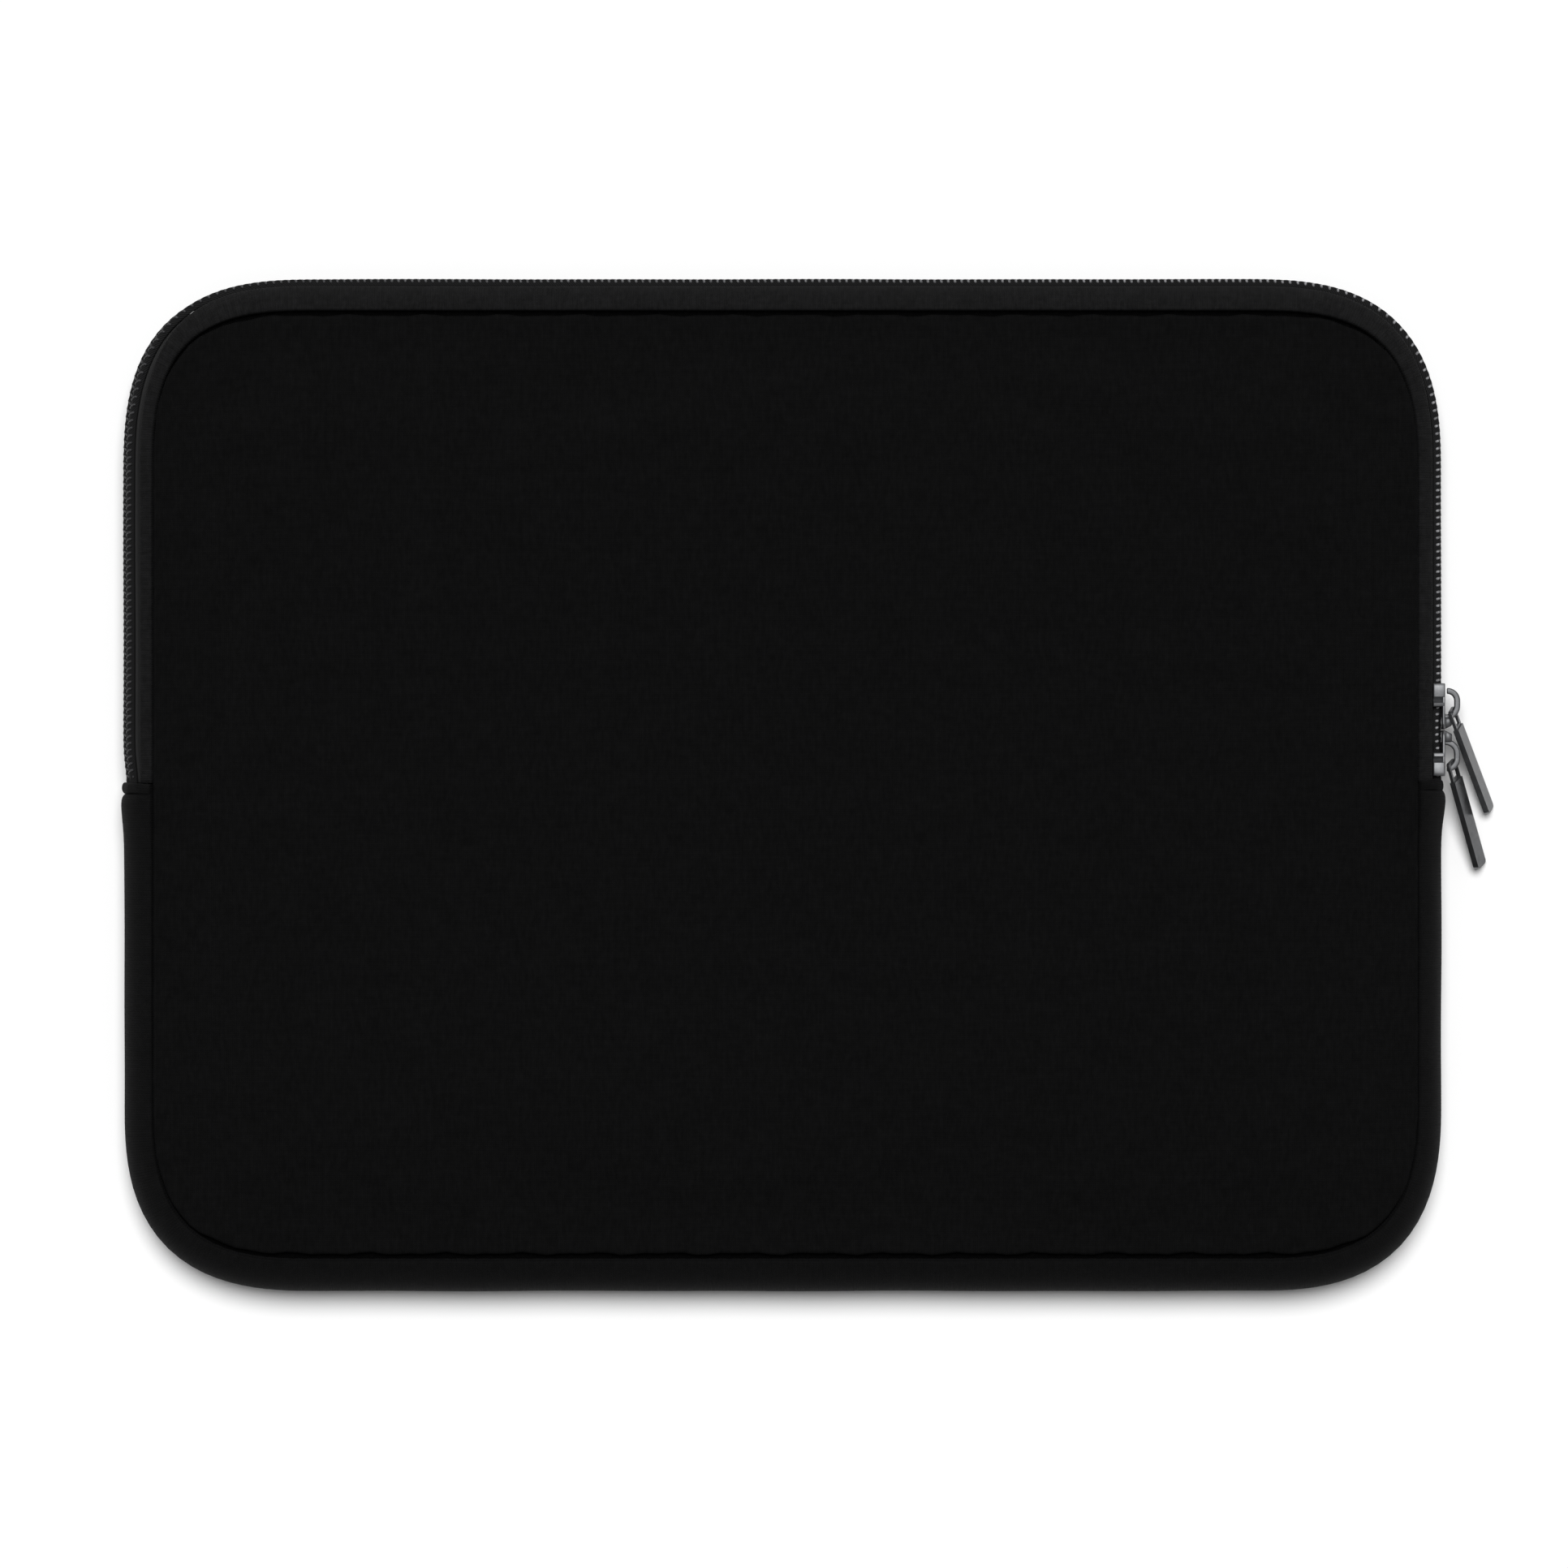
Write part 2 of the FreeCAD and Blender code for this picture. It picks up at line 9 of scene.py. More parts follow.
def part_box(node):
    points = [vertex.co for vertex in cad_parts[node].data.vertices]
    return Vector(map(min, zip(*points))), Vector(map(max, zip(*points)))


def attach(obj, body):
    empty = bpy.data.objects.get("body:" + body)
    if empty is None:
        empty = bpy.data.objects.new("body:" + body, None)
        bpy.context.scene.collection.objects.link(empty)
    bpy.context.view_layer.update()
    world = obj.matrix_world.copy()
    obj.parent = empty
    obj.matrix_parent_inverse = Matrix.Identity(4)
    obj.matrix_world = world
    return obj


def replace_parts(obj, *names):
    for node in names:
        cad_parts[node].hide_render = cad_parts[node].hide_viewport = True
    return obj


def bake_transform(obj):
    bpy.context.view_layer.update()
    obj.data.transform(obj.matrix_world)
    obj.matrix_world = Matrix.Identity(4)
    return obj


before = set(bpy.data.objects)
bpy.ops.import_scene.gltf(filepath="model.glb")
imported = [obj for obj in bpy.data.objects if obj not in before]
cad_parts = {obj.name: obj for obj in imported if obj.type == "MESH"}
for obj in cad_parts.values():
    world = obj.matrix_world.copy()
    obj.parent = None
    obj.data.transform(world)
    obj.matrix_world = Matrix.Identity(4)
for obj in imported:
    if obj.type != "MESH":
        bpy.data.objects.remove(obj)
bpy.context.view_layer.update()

# Looks of a black laptop sleeve: neoprene panels, a coil zip round the top and two gunmetal
# sliders on its right side. Lengths here are in millimetres until a mesh is made.
#
# Every layer of the rounded edge is a ring section, radii and angles about one core line, as in
# the CAD. Angles are degrees: 0 faces out sideways, 90 up to the front, -90 down to the back.

MM = 0.001
WIDTH = 2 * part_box("gusset")[1].x / MM
HEIGHT = -2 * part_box("gusset")[0].y / MM
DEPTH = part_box("front_panel_upper")[1].z / MM
MID = DEPTH / 2
EDGE = 10.25                # the rounded edge's radius about the core line
CORE_X = WIDTH / 2 - EDGE   # the core line on the right side
CORNER_EXTENT = 50.0        # how far a corner's curve reaches along each side
CORNER_POWER = 2.75         # a circle has 2, and a square corner has far more
ZIP_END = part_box("end_tab_right")[1].y / MM
TAB_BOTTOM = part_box("end_tab_right")[0].y / MM
NOSE = (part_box("upper_slider")[0].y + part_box("lower_slider")[1].y) / 2 / MM
LEFT_DROP = 0.9             # the left tab sits this much lower than the right one
COIL_PITCH = 1.75
COIL_WIRE = 0.66            # its diameter
COIL_START = ZIP_END - 0.6  # the chain starts just under the right tab
STITCH_PITCH = 3.4
THICKNESS = 3.0             # the neoprene's
LINING_THICKNESS = 0.7


# ---------------------------------------------------------------- the core line

def core_line():
    """Points, outward normals and run of the core line, from the right side anticlockwise."""
    turn = np.linspace(0, math.pi / 2, 1500)
    cosine, sine = np.cos(turn), np.sin(turn)
    x, y = CORNER_EXTENT * cosine ** (2 / CORNER_POWER), CORNER_EXTENT * sine ** (2 / CORNER_POWER)
    normal = np.stack([x, y], 1) ** (CORNER_POWER - 1)
    normal /= np.linalg.norm(normal, axis=1)[:, None]
    shift = (WIDTH / 2 - CORNER_EXTENT, HEIGHT / 2 - CORNER_EXTENT)
    corner = np.concatenate([np.stack([x, y], 1) + shift, normal], 1)
    quarter = np.concatenate([[[WIDTH / 2, 0, 1, 0]], corner, [[0, HEIGHT / 2, 0, 1]]])
    half = np.concatenate([quarter, (quarter[::-1] * (-1, 1, -1, 1))[1:]])
    loop = np.concatenate([half, (-half)[1:]])
    points = loop[:, :2] - EDGE * loop[:, 2:]
    steps = np.linalg.norm(np.diff(points, axis=0), axis=1)
    return points, loop[:, 2:], np.concatenate([[0], np.cumsum(steps)])


CORE_POINTS, CORE_NORMALS, CORE_RUN = core_line()
ROUND = CORE_RUN[-1]
HALF = ROUND / 2


class Stations:
    """Places along the core line: run, point, outward normal and the way they face."""

    def __init__(self, run):
        wrapped = run % ROUND
        self.run = run
        self.point = np.stack([np.interp(wrapped, CORE_RUN, c) for c in CORE_POINTS.T], 1)
        normal = np.stack([np.interp(wrapped, CORE_RUN, c) for c in CORE_NORMALS.T], 1)
        self.normal = normal / np.linalg.norm(normal, axis=1)[:, None]
        self.facing = np.degrees(np.arctan2(self.normal[:, 1], self.normal[:, 0])) % 360

    def place(self, out, up):
        """3-D points at distances out and up from the core line; one row per station."""
        flat = self.point[:, None] + self.normal[:, None] * out[..., None]
        return np.concatenate([flat, (MID + up)[..., None]], 2)

    def ring(self, radius, angle):
        """3-D points at radii and angles about the core line."""
        turn = np.radians(angle)
        return self.place(radius * np.cos(turn), radius * np.sin(turn))


def spaced(start, end, step):
    """Evenly spaced values from start to end, about a step apart."""
    return np.linspace(start, end, max(2, round((end - start) / step) + 1))


def smooth(value, start, end):
    """0 before start, 1 after end, an even curve between."""
    t = np.clip((value - start) / (end - start), 0, 1)
    return t * t * (3 - 2 * t)


def by_side(facing, right, top, left, bottom):
    """A value for each side, blended round the corners."""
    return np.interp(facing, [0, 90, 180, 270, 360], [right, top, left, bottom, right])


def front_seam(stations):
    """The front seam's angle: it sits further in along the top and bottom than on the right."""
    return by_side(stations.facing, 67.0, 78.5, 75.5, 79.3)


def groove(stations):
    """The gap between a panel and what it is sewn to: more open along the top and bottom."""
    crumple = 1 + 0.25 * np.sin(stations.run / 2.1) * np.sin(stations.run / 6.7 + 1.3)
    return by_side(stations.facing, 0.45, 1.4, 0.4, 1.75) * crumple


def back_seam(stations):
    """The back seam's angle, the same all round."""
    return np.full(len(stations.run), 77.0)


def zip_twist(stations):
    """How far the zip is turned up towards the front: on the left side only."""
    return 21.0 * smooth(stations.facing, 100, 172) * (1 - smooth(stations.facing, 188, 260))


def zip_sink(stations):
    """How far the zip is drawn in beside the left tab, with slight waves, less its rise on top."""
    left_end = np.abs(stations.run - (HALF - ZIP_END + LEFT_DROP))
    wave = 0.06 + 0.06 * np.sin(stations.run / 11.0) * np.sin(stations.run / 37.0 + 1.0)
    return (0.8 * np.exp(-((left_end / 6.0) ** 2)) + wave * smooth(stations.run, 45, 75)
            - 0.16 * smooth(stations.run, 105, 130))


# ---------------------------------------------------------------- meshes

def add_mesh(name, points, faces, uvs=None, slot=None, look=None):
    """A smooth-shaded mesh object from points in millimetres, with one uv per point.

    slot is the finish whose material it takes, and look its material if that isn't the slot's.
    """
    mesh = bpy.data.meshes.new(name)
    mesh.from_pydata((np.asarray(points) * MM).tolist(), [], [list(map(int, f)) for f in faces])
    if uvs is not None:
        corners = np.zeros(len(mesh.loops), np.int32)
        mesh.loops.foreach_get("vertex_index", corners)
        layer = mesh.uv_layers.new(name="UVMap")
        layer.data.foreach_set("uv", (np.asarray(uvs) * MM)[corners].astype(np.float32).ravel())
    mesh.polygons.foreach_set("use_smooth", [True] * len(mesh.polygons))
    mesh.update()
    piece = bpy.data.objects.new(name, mesh)
    bpy.context.scene.collection.objects.link(piece)
    if slot:
        mesh.materials.append(MATERIALS[look or slot])
    return piece


def skin(rows, closed=False):
    """Faces of a skin through equal rings of points; open skins get a cap at each end."""
    count, size = rows.shape[:2]
    faces = []
    for i in range(count if closed else count - 1):
        here, there = i * size, (i + 1) % count * size
        for j in range(size):
            k = (j + 1) % size
            faces.append((here + j, there + j, there + k, here + k))
    if not closed:
        faces.append(range(size))
        faces.append(range(count * size - 1, (count - 1) * size - 1, -1))
    return faces


def skin_uvs(rows, run):
    """Each point's run along the skin and its distance round its ring."""
    steps = np.linalg.norm(np.diff(rows, axis=1), axis=2)
    across = np.concatenate([np.zeros((len(rows), 1)), np.cumsum(steps, axis=1)], axis=1)
    return np.stack([np.repeat(run, rows.shape[1]), across.ravel()], 1)


def loft(name, rows, run, slot, closed=False, look=None):
    """A closed skin through rings of points along a run."""
    faces = skin(rows, closed)
    piece = add_mesh(name, rows.reshape(-1, 3), faces, skin_uvs(rows, run), slot, look)
    face_outwards(piece)
    return piece


def face_outwards(piece):
    """Turns every face of a closed mesh to face out."""
    made = bmesh.new()
    made.from_mesh(piece.data)
    bmesh.ops.recalc_face_normals(made, faces=made.faces)
    made.to_mesh(piece.data)
    made.free()


def band_section(inner, outer, low, high, bends, count):
    """A band's section as radii and angles per station, its corners rounded.

    inner, outer, low and high have one value per station. bends are the radii of the corners:
    low outer, high outer, high inner, low inner.
    """
    radii, angles = [], []

    def corner(radius, angle, bend, r_sign, a_sign, turns):
        for turn in np.radians(turns):
            reach = np.degrees(bend / radius)
            radii.append(radius - r_sign * bend * (1 - np.cos(turn)))
            angles.append(angle - a_sign * reach * (1 - np.sin(turn)))

    def arc(radius, start, end, start_bend, end_bend):
        first = start + np.degrees(start_bend / radius)
        last = end - np.degrees(end_bend / radius)
        for share in np.linspace(0, 1, count)[1:-1]:
            radii.append(radius + 0 * low)
            angles.append(first + (last - first) * share)

    low_outer, high_outer, high_inner, low_inner = bends
    quarter = np.linspace(0, 90, 6)
    arc(outer, low, high, low_outer, high_outer)
    corner(outer, high, high_outer, 1, 1, quarter)
    corner(inner, high, high_inner, -1, 1, quarter[::-1])
    arc(inner, high, low, -high_inner, -low_inner)
    corner(inner, low, low_inner, -1, -1, quarter)
    corner(outer, low, low_outer, 1, -1, quarter[::-1])
    return np.stack(radii, 1), np.stack(angles, 1)


def rounded_box(low, high, bend, steps=4):
    """A rounded rectangle's points, from its low corner to its high one."""
    (x0, y0), (x1, y1) = low, high
    points = []
    for x, y, start in ((x1 - bend, y1 - bend, 0), (x0 + bend, y1 - bend, 90),
                        (x0 + bend, y0 + bend, 180), (x1 - bend, y0 + bend, 270)):
        for turn in np.radians(np.linspace(start, start + 90, steps)):
            points.append((x + bend * math.cos(turn), y + bend * math.sin(turn)))
    return np.array(points)


def edge_band(name, slot, run, inner, outer, low, high, bends, count, look=None):
    """A layer of the rounded edge along a run of the core line."""
    stations = Stations(run)
    blank = np.zeros(len(run))
    radii, angles = band_section(inner + blank, outer + blank, low + blank, high + blank,
                                 bends, count)
    rows = stations.ring(radii, angles)
    return loft(name, np.roll(rows, -2 * count, axis=1), run, slot, look=look)


def tube(name, path, across, radius, sides, slot, run):
    """A closed round tube along a path; across is a direction never in line with it."""
    ahead = np.gradient(path, axis=0)
    ahead /= np.linalg.norm(ahead, axis=1)[:, None]
    side = np.cross(ahead, across)
    side /= np.linalg.norm(side, axis=1)[:, None]
    rise = np.cross(side, ahead)
    turn = np.linspace(0, 2 * math.pi, sides, endpoint=False)[None, :, None]
    rows = path[:, None] + radius * (side[:, None] * np.cos(turn) + rise[:, None] * np.sin(turn))
    return loft(name, rows, run, slot)


def sharpen(piece, degrees):
    """Shades faces smooth except across edges sharper than this."""
    with bpy.context.temp_override(object=piece, selected_objects=[piece],
                                   selected_editable_objects=[piece], active_object=piece):
        bpy.ops.object.shade_smooth_by_angle(angle=math.radians(degrees))


# ---------------------------------------------------------------- materials

def new_material(name, **settings):
    """A Principled material with plain settings on its own sockets."""
    material = bpy.data.materials.new(name)
    material.use_nodes = True
    shader = material.node_tree.nodes["Principled BSDF"]
    for socket, value in settings.items():
        shader.inputs[socket.replace("_", " ")].default_value = value
    return material


def grey(level, blue):
    """A near-neutral colour: red and green alike, with its own blue."""
    return level, level, blue, 1.0


class Nodes:
    """Short ways to add and link the nodes of one material."""

    def __init__(self, material):
        self.tree = material.node_tree
        self.shader = self.tree.nodes["Principled BSDF"]

    def add(self, kind, **settings):
        """A new node of a kind, with its settings."""
        node = self.tree.nodes.new("ShaderNode" + kind)
        for key, value in settings.items():
            setattr(node, key, value)
        return node

    def link(self, source, target):
        """Links a socket, or sets a plain value."""
        if isinstance(source, (int, float, tuple)):
            target.default_value = source
        else:
            self.tree.links.new(source, target)

    def math(self, operation, *values):
        """The result of an operation on sockets or plain values."""
        node = self.add("Math", operation=operation)
        for value, socket in zip(values, node.inputs):
            self.link(value, socket)
        return node.outputs[0]

    def mix(self, share, first, second):
        """The first colour at share 0 and the second at 1."""
        node = self.add("Mix", data_type="RGBA")
        self.link(share, node.inputs[0])
        self.link(first, node.inputs[6])
        self.link(second, node.inputs[7])
        return node.outputs[2]

    def noise(self, place, scale, detail, roughness=0.5):
        """Noise from 0 to 1; scale is its number of grains in a metre."""
        node = self.add("TexNoise")
        self.link(place, node.inputs["Vector"])
        node.inputs["Scale"].default_value = scale
        node.inputs["Detail"].default_value = detail
        node.inputs["Roughness"].default_value = roughness
        return node.outputs["Fac"]

    def stretched(self, place, x, y):
        """Coordinates scaled along x and y, so that a texture stretches."""
        node = self.add("Mapping")
        self.link(place, node.inputs["Vector"])
        node.inputs["Scale"].default_value = (x, y, 1.0)
        return node.outputs["Vector"]

    def ramp(self, value, low, high):
        """0 at low, 1 at high and even between."""
        node = self.add("MapRange")
        self.link(value, node.inputs["Value"])
        node.inputs["From Min"].default_value = low
        node.inputs["From Max"].default_value = high
        return node.outputs["Result"]

    def bump(self, *layers):
        """Bumps one on another: pairs of height and depth in metres."""
        normal = None
        for height, depth in layers:
            node = self.add("Bump")
            node.inputs["Distance"].default_value = depth
            node.inputs["Strength"].default_value = 1.0
            self.link(height, node.inputs["Height"])
            if normal:
                self.link(normal, node.inputs["Normal"])
            normal = node.outputs["Normal"]
        self.link(normal, self.shader.inputs["Normal"])


def knit_height(nodes, uv, wale, course):
    """Jersey knit: columns of v-shaped stitches, wale wide and course long, in metres."""
    parts = nodes.add("SeparateXYZ")
    nodes.link(uv, parts.inputs[0])
    across = nodes.math("DIVIDE", parts.outputs[0], wale)
    along = nodes.math("DIVIDE", parts.outputs[1], course)
    column = nodes.math("ABSOLUTE", nodes.math("SINE", nodes.math("MULTIPLY", across, math.pi)))
    slant = nodes.math("ABSOLUTE", nodes.math("SUBTRACT", nodes.math("FRACT", across), 0.5))
    stitch = nodes.math("SINE", nodes.math(
        "MULTIPLY", nodes.math("ADD", along, nodes.math("MULTIPLY", slant, 1.6)), 2 * math.pi))
    raised = nodes.math("MULTIPLY_ADD", stitch, 0.35, 0.65)
    return nodes.math("MULTIPLY", nodes.math("POWER", column, 0.6), raised)


def knit_material(name, dark, light, wale, course, gloss, sheen, streak):
    """Knit-faced neoprene: fine stitches, heathered streaks and faint mottling.

    wale and course are a stitch's width and length, and streak how fine the streaks are.
    """
    material = new_material(name, Roughness=0.8, Specular_IOR_Level=gloss,
                            Sheen_Weight=sheen, Sheen_Roughness=0.3,
                            Sheen_Tint=(0.75, 0.76, 0.8, 1.0))
    nodes = Nodes(material)
    uv = nodes.add("UVMap", uv_map="UVMap").outputs[0]
    height = knit_height(nodes, uv, wale, course)
    yarn = nodes.noise(nodes.stretched(uv, 1.0, 0.28), streak, 3.0, 0.6)
    cross = nodes.noise(nodes.stretched(uv, 0.3, 1.0), streak * 0.8, 2.0, 0.6)
    mottle = nodes.noise(uv, 90.0, 5.0, 0.7)
    blend = nodes.math("ADD", nodes.math("MULTIPLY", nodes.ramp(yarn, 0.36, 0.68), 0.45),
                       nodes.math("MULTIPLY", nodes.ramp(cross, 0.4, 0.72), 0.25))
    blend = nodes.math("ADD", blend, nodes.math("MULTIPLY", nodes.ramp(mottle, 0.3, 0.75), 0.3))
    lit = nodes.math("MULTIPLY", blend, nodes.math("MULTIPLY_ADD", height, 0.6, 0.4))
    nodes.link(nodes.mix(lit, dark, light), nodes.shader.inputs["Base Color"])
    nodes.bump((mottle, 0.00025), (height, 0.00014))
    return material


def fleece_material():
    """Short napped fleece: soft tufts and a strong sheen."""
    material = new_material("lining_fleece", Roughness=0.95, Specular_IOR_Level=0.1,
                            Sheen_Weight=0.35, Sheen_Roughness=0.5)
    nodes = Nodes(material)
    place = nodes.add("TexCoord").outputs["Object"]
    nap = nodes.noise(nodes.stretched(place, 1.0, 0.5), 1500.0, 4.0, 0.7)
    brushed = nodes.noise(nodes.stretched(place, 1.0, 0.35), 120.0, 3.0)
    tone = nodes.math("MULTIPLY", nodes.ramp(nap, 0.3, 0.7), nodes.ramp(brushed, 0.15, 0.75))
    nodes.link(nodes.mix(tone, grey(0.006, 0.007), grey(0.03, 0.033)),
               nodes.shader.inputs["Base Color"])
    nodes.bump((brushed, 0.0006), (nap, 0.0005))
    return material


def tape_material():
    """Woven zip tape: a fine herringbone."""
    material = new_material("zip_tape", Roughness=0.8, Specular_IOR_Level=0.2,
                            Sheen_Weight=0.05)
    nodes = Nodes(material)
    uv = nodes.add("UVMap", uv_map="UVMap").outputs[0]
    parts = nodes.add("SeparateXYZ")
    nodes.link(uv, parts.inputs[0])
    herringbone, rib_pitch = 0.0012, 0.00045
    zigzag = nodes.math("PINGPONG", parts.outputs[1], herringbone)
    rib = nodes.math("ADD", parts.outputs[0], zigzag)
    height = nodes.math("ABSOLUTE", nodes.math("SINE", nodes.math(
        "MULTIPLY", rib, math.pi / rib_pitch)))
    nodes.link(nodes.mix(height, grey(0.0015, 0.0015), grey(0.008, 0.0085)),
               nodes.shader.inputs["Base Color"])
    nodes.bump((height, 0.0001))
    return material


def coil_material():
    """Dyed nylon monofilament: satin, unevenly dyed, with a painted highlight at its bends.

    The painted highlight grows brighter from the left side to the right one, where the sliders are.
    """
    material = new_material("zip_coil", Roughness=0.4, Specular_IOR_Level=0.25)
    nodes = Nodes(material)
    uv = nodes.add("UVMap", uv_map="UVMap").outputs[0]
    parts = nodes.add("SeparateXYZ")
    nodes.link(uv, parts.inputs[0])
    turned = nodes.math("MULTIPLY", parts.outputs[0], 2 * math.pi / MM)
    bend = nodes.ramp(nodes.math("ABSOLUTE", nodes.math("COSINE", turned)), 0.6, 0.95)
    place = nodes.add("TexCoord").outputs["Object"]
    dye = nodes.noise(place, 260.0, 3.0)
    grain_and_glint = nodes.noise(place, 1800.0, 2.0)
    body = nodes.mix(dye, grey(0.005, 0.0055), grey(0.02, 0.022))
    # painted highlight: the colour of the bends is lightened, broken up by the grain noise
    painted_glint_mask = nodes.math("MULTIPLY", bend, nodes.ramp(grain_and_glint, 0.2, 0.6))
    spot = nodes.add("SeparateXYZ")
    nodes.link(place, spot.inputs[0])
    # the painted highlight's colour, lighter towards the right side
    left, right = -0.17, 0.17
    painted_glint_tone = nodes.mix(nodes.ramp(spot.outputs[0], left, right), grey(0.035, 0.037),
                     grey(0.3, 0.31))
    nodes.link(nodes.mix(painted_glint_mask, body, painted_glint_tone), nodes.shader.inputs["Base Color"])
    nodes.link(nodes.math("MULTIPLY_ADD", grain_and_glint, 0.25, 0.28), nodes.shader.inputs["Roughness"])
    nodes.bump((grain_and_glint, 0.00003))
    return material


def thread_material(name, dark, light, gloss):
    """Twisted thread, its plies shaded from dark to light."""
    material = new_material(name, Roughness=0.7, Specular_IOR_Level=gloss)
    nodes = Nodes(material)
    uv = nodes.add("UVMap", uv_map="UVMap").outputs[0]
    parts = nodes.add("SeparateXYZ")
    nodes.link(uv, parts.inputs[0])
    ply_pitch = 0.0006
    ply = nodes.math("SINE", nodes.math("MULTIPLY", nodes.math(
        "ADD", parts.outputs[0], parts.outputs[1]), 2 * math.pi / ply_pitch))
    shade = nodes.math("MULTIPLY_ADD", ply, 0.5, 0.5)
    nodes.link(nodes.mix(shade, dark, light), nodes.shader.inputs["Base Color"])
    nodes.bump((shade, 0.00006))
    return material


def gunmetal_material(name, dark, light, rough):
    """Gunmetal plating: fine brushing, faint smudges and lighter wear. rough is its least."""
    material = new_material(name, Metallic=0.78)
    nodes = Nodes(material)
    place = nodes.add("TexCoord").outputs["Object"]
    brush = nodes.noise(nodes.stretched(place, 1.0, 0.06), 5200.0, 3.0)
    smudge = nodes.noise(place, 420.0, 4.0, 0.6)
    wear = nodes.ramp(nodes.noise(place, 900.0, 5.0, 0.7), 0.55, 0.8)
    tone = nodes.mix(nodes.ramp(smudge, 0.3, 0.7), dark, light)
    nodes.link(nodes.mix(nodes.math("MULTIPLY", wear, 0.25), tone, grey(0.35, 0.35)),
               nodes.shader.inputs["Base Color"])
    smudged = nodes.math("MULTIPLY_ADD", smudge, 0.12, rough)
    nodes.link(nodes.math("MULTIPLY_ADD", brush, 0.08, smudged),
               nodes.shader.inputs["Roughness"])
    nodes.bump((smudge, 0.00004), (brush, 0.000008))
    return material


MATERIALS = {
    "panel_neoprene": knit_material("panel_neoprene", grey(0.0022, 0.00225), grey(0.0062, 0.0064),
                                    wale=0.00055, course=0.0005, gloss=0.045, sheen=0.01,
                                    streak=900.0),
    "edge_neoprene": knit_material("edge_neoprene", grey(0.001, 0.00105), grey(0.0048, 0.005),
                                   wale=0.0006, course=0.00055, gloss=0.09, sheen=0.008,
                                   streak=1100.0),
    "lining_fleece": fleece_material(),
    "zip_strip": knit_material("zip_strip", grey(0.0028, 0.0029), grey(0.0145, 0.015),
                               wale=0.0006, course=0.00055, gloss=0.09, sheen=0.012,
                               streak=1100.0),
    "zip_tape": tape_material(),
    "zip_coil": coil_material(),
    "seam_thread": thread_material("seam_thread", grey(0.0004, 0.0004), grey(0.0022, 0.0023),
                                   gloss=0.01),
    "zip_cord": thread_material("zip_cord", grey(0.002, 0.002), grey(0.012, 0.0125), gloss=0.1),
    "gunmetal": gunmetal_material("gunmetal", (0.066, 0.068, 0.071, 1),
                                  (0.1, 0.102, 0.106, 1), rough=0.12),
    "slider_metal": gunmetal_material("slider_metal", (0.12, 0.122, 0.126, 1),
                                      (0.175, 0.178, 0.184, 1), rough=0.4),
    "crown_metal": gunmetal_material("crown_metal", (0.08, 0.082, 0.085, 1),
                                     (0.12, 0.122, 0.126, 1), rough=0.4),
}


# ---------------------------------------------------------------- panels

CELL = 3.2
QUARTER = len(CORE_RUN) // 4
QUARTER_FACING = np.degrees(np.arctan2(CORE_NORMALS[:QUARTER, 1], CORE_NORMALS[:QUARTER, 0]))
DIAGONAL = np.interp(45.0, QUARTER_FACING, CORE_RUN[:QUARTER])
ACROSS = round((HALF - 2 * DIAGONAL) / CELL)
ALONG = round(2 * DIAGONAL / CELL)
AROUND = 2 * (ACROSS + ALONG)
PANEL_RINGS = (0.0, 0.06, 0.2, 0.42, 0.75, 1.2, 1.8, 2.8, 4.5, 7.0, 10.0)
LINING_RINGS = (0.0, 1.5, 4.0, 8.0)
FRONT_CROWN = 0.9           # how far the front panel's middle stands above its edge
SLACK_FROM = 2.5            # the panel settles as cloth beyond this distance from its seam
SETTLE_FRAMES = 24


def loop_stations():
    """Stations once round, starting at the lower right corner's middle."""
    marks = np.array([-DIAGONAL, DIAGONAL, HALF - DIAGONAL, HALF + DIAGONAL, ROUND - DIAGONAL])
    counts = (ALONG, ACROSS, ALONG, ACROSS)
    runs = [np.linspace(a, b, n, endpoint=False) for a, b, n in zip(marks, marks[1:], counts)]
    return Stations(np.concatenate(runs))


def patch(ring, first):
    """Fills a ring with a grid: its new inner points, and faces that use the ring's ids."""
    right = np.arange(0, ALONG + 1)
    top = np.arange(ALONG, ALONG + ACROSS + 1)[::-1]
    left = np.arange(ALONG + ACROSS, 2 * ALONG + ACROSS + 1)[::-1]
    bottom = np.arange(2 * ALONG + ACROSS, AROUND + 1) % AROUND
    ids = np.zeros((ACROSS + 1, ALONG + 1), int)
    ids[0], ids[-1] = first + left, first + right
    ids[:, 0], ids[:, -1] = first + bottom, first + top
    u = np.linspace(0, 1, ACROSS + 1)[:, None, None]
    v = np.linspace(0, 1, ALONG + 1)[None, :, None]
    west, east = ring[left][None], ring[right][None]
    south, north = ring[bottom][:, None], ring[top][:, None]
    grid = (1 - u) * west + u * east + (1 - v) * south + v * north
    grid -= ((1 - u) * (1 - v) * ring[left[0]] + u * (1 - v) * ring[right[0]]
             + (1 - u) * v * ring[left[-1]] + u * v * ring[right[-1]])
    inner = grid[1:-1, 1:-1]
    rows, columns = inner.shape[:2]
    ids[1:-1, 1:-1] = first + AROUND + np.arange(rows * columns).reshape(rows, columns)
    faces = [(ids[i, j], ids[i + 1, j], ids[i + 1, j + 1], ids[i, j + 1])
             for i in range(ACROSS) for j in range(ALONG)]
    return inner.reshape(-1, 3), faces


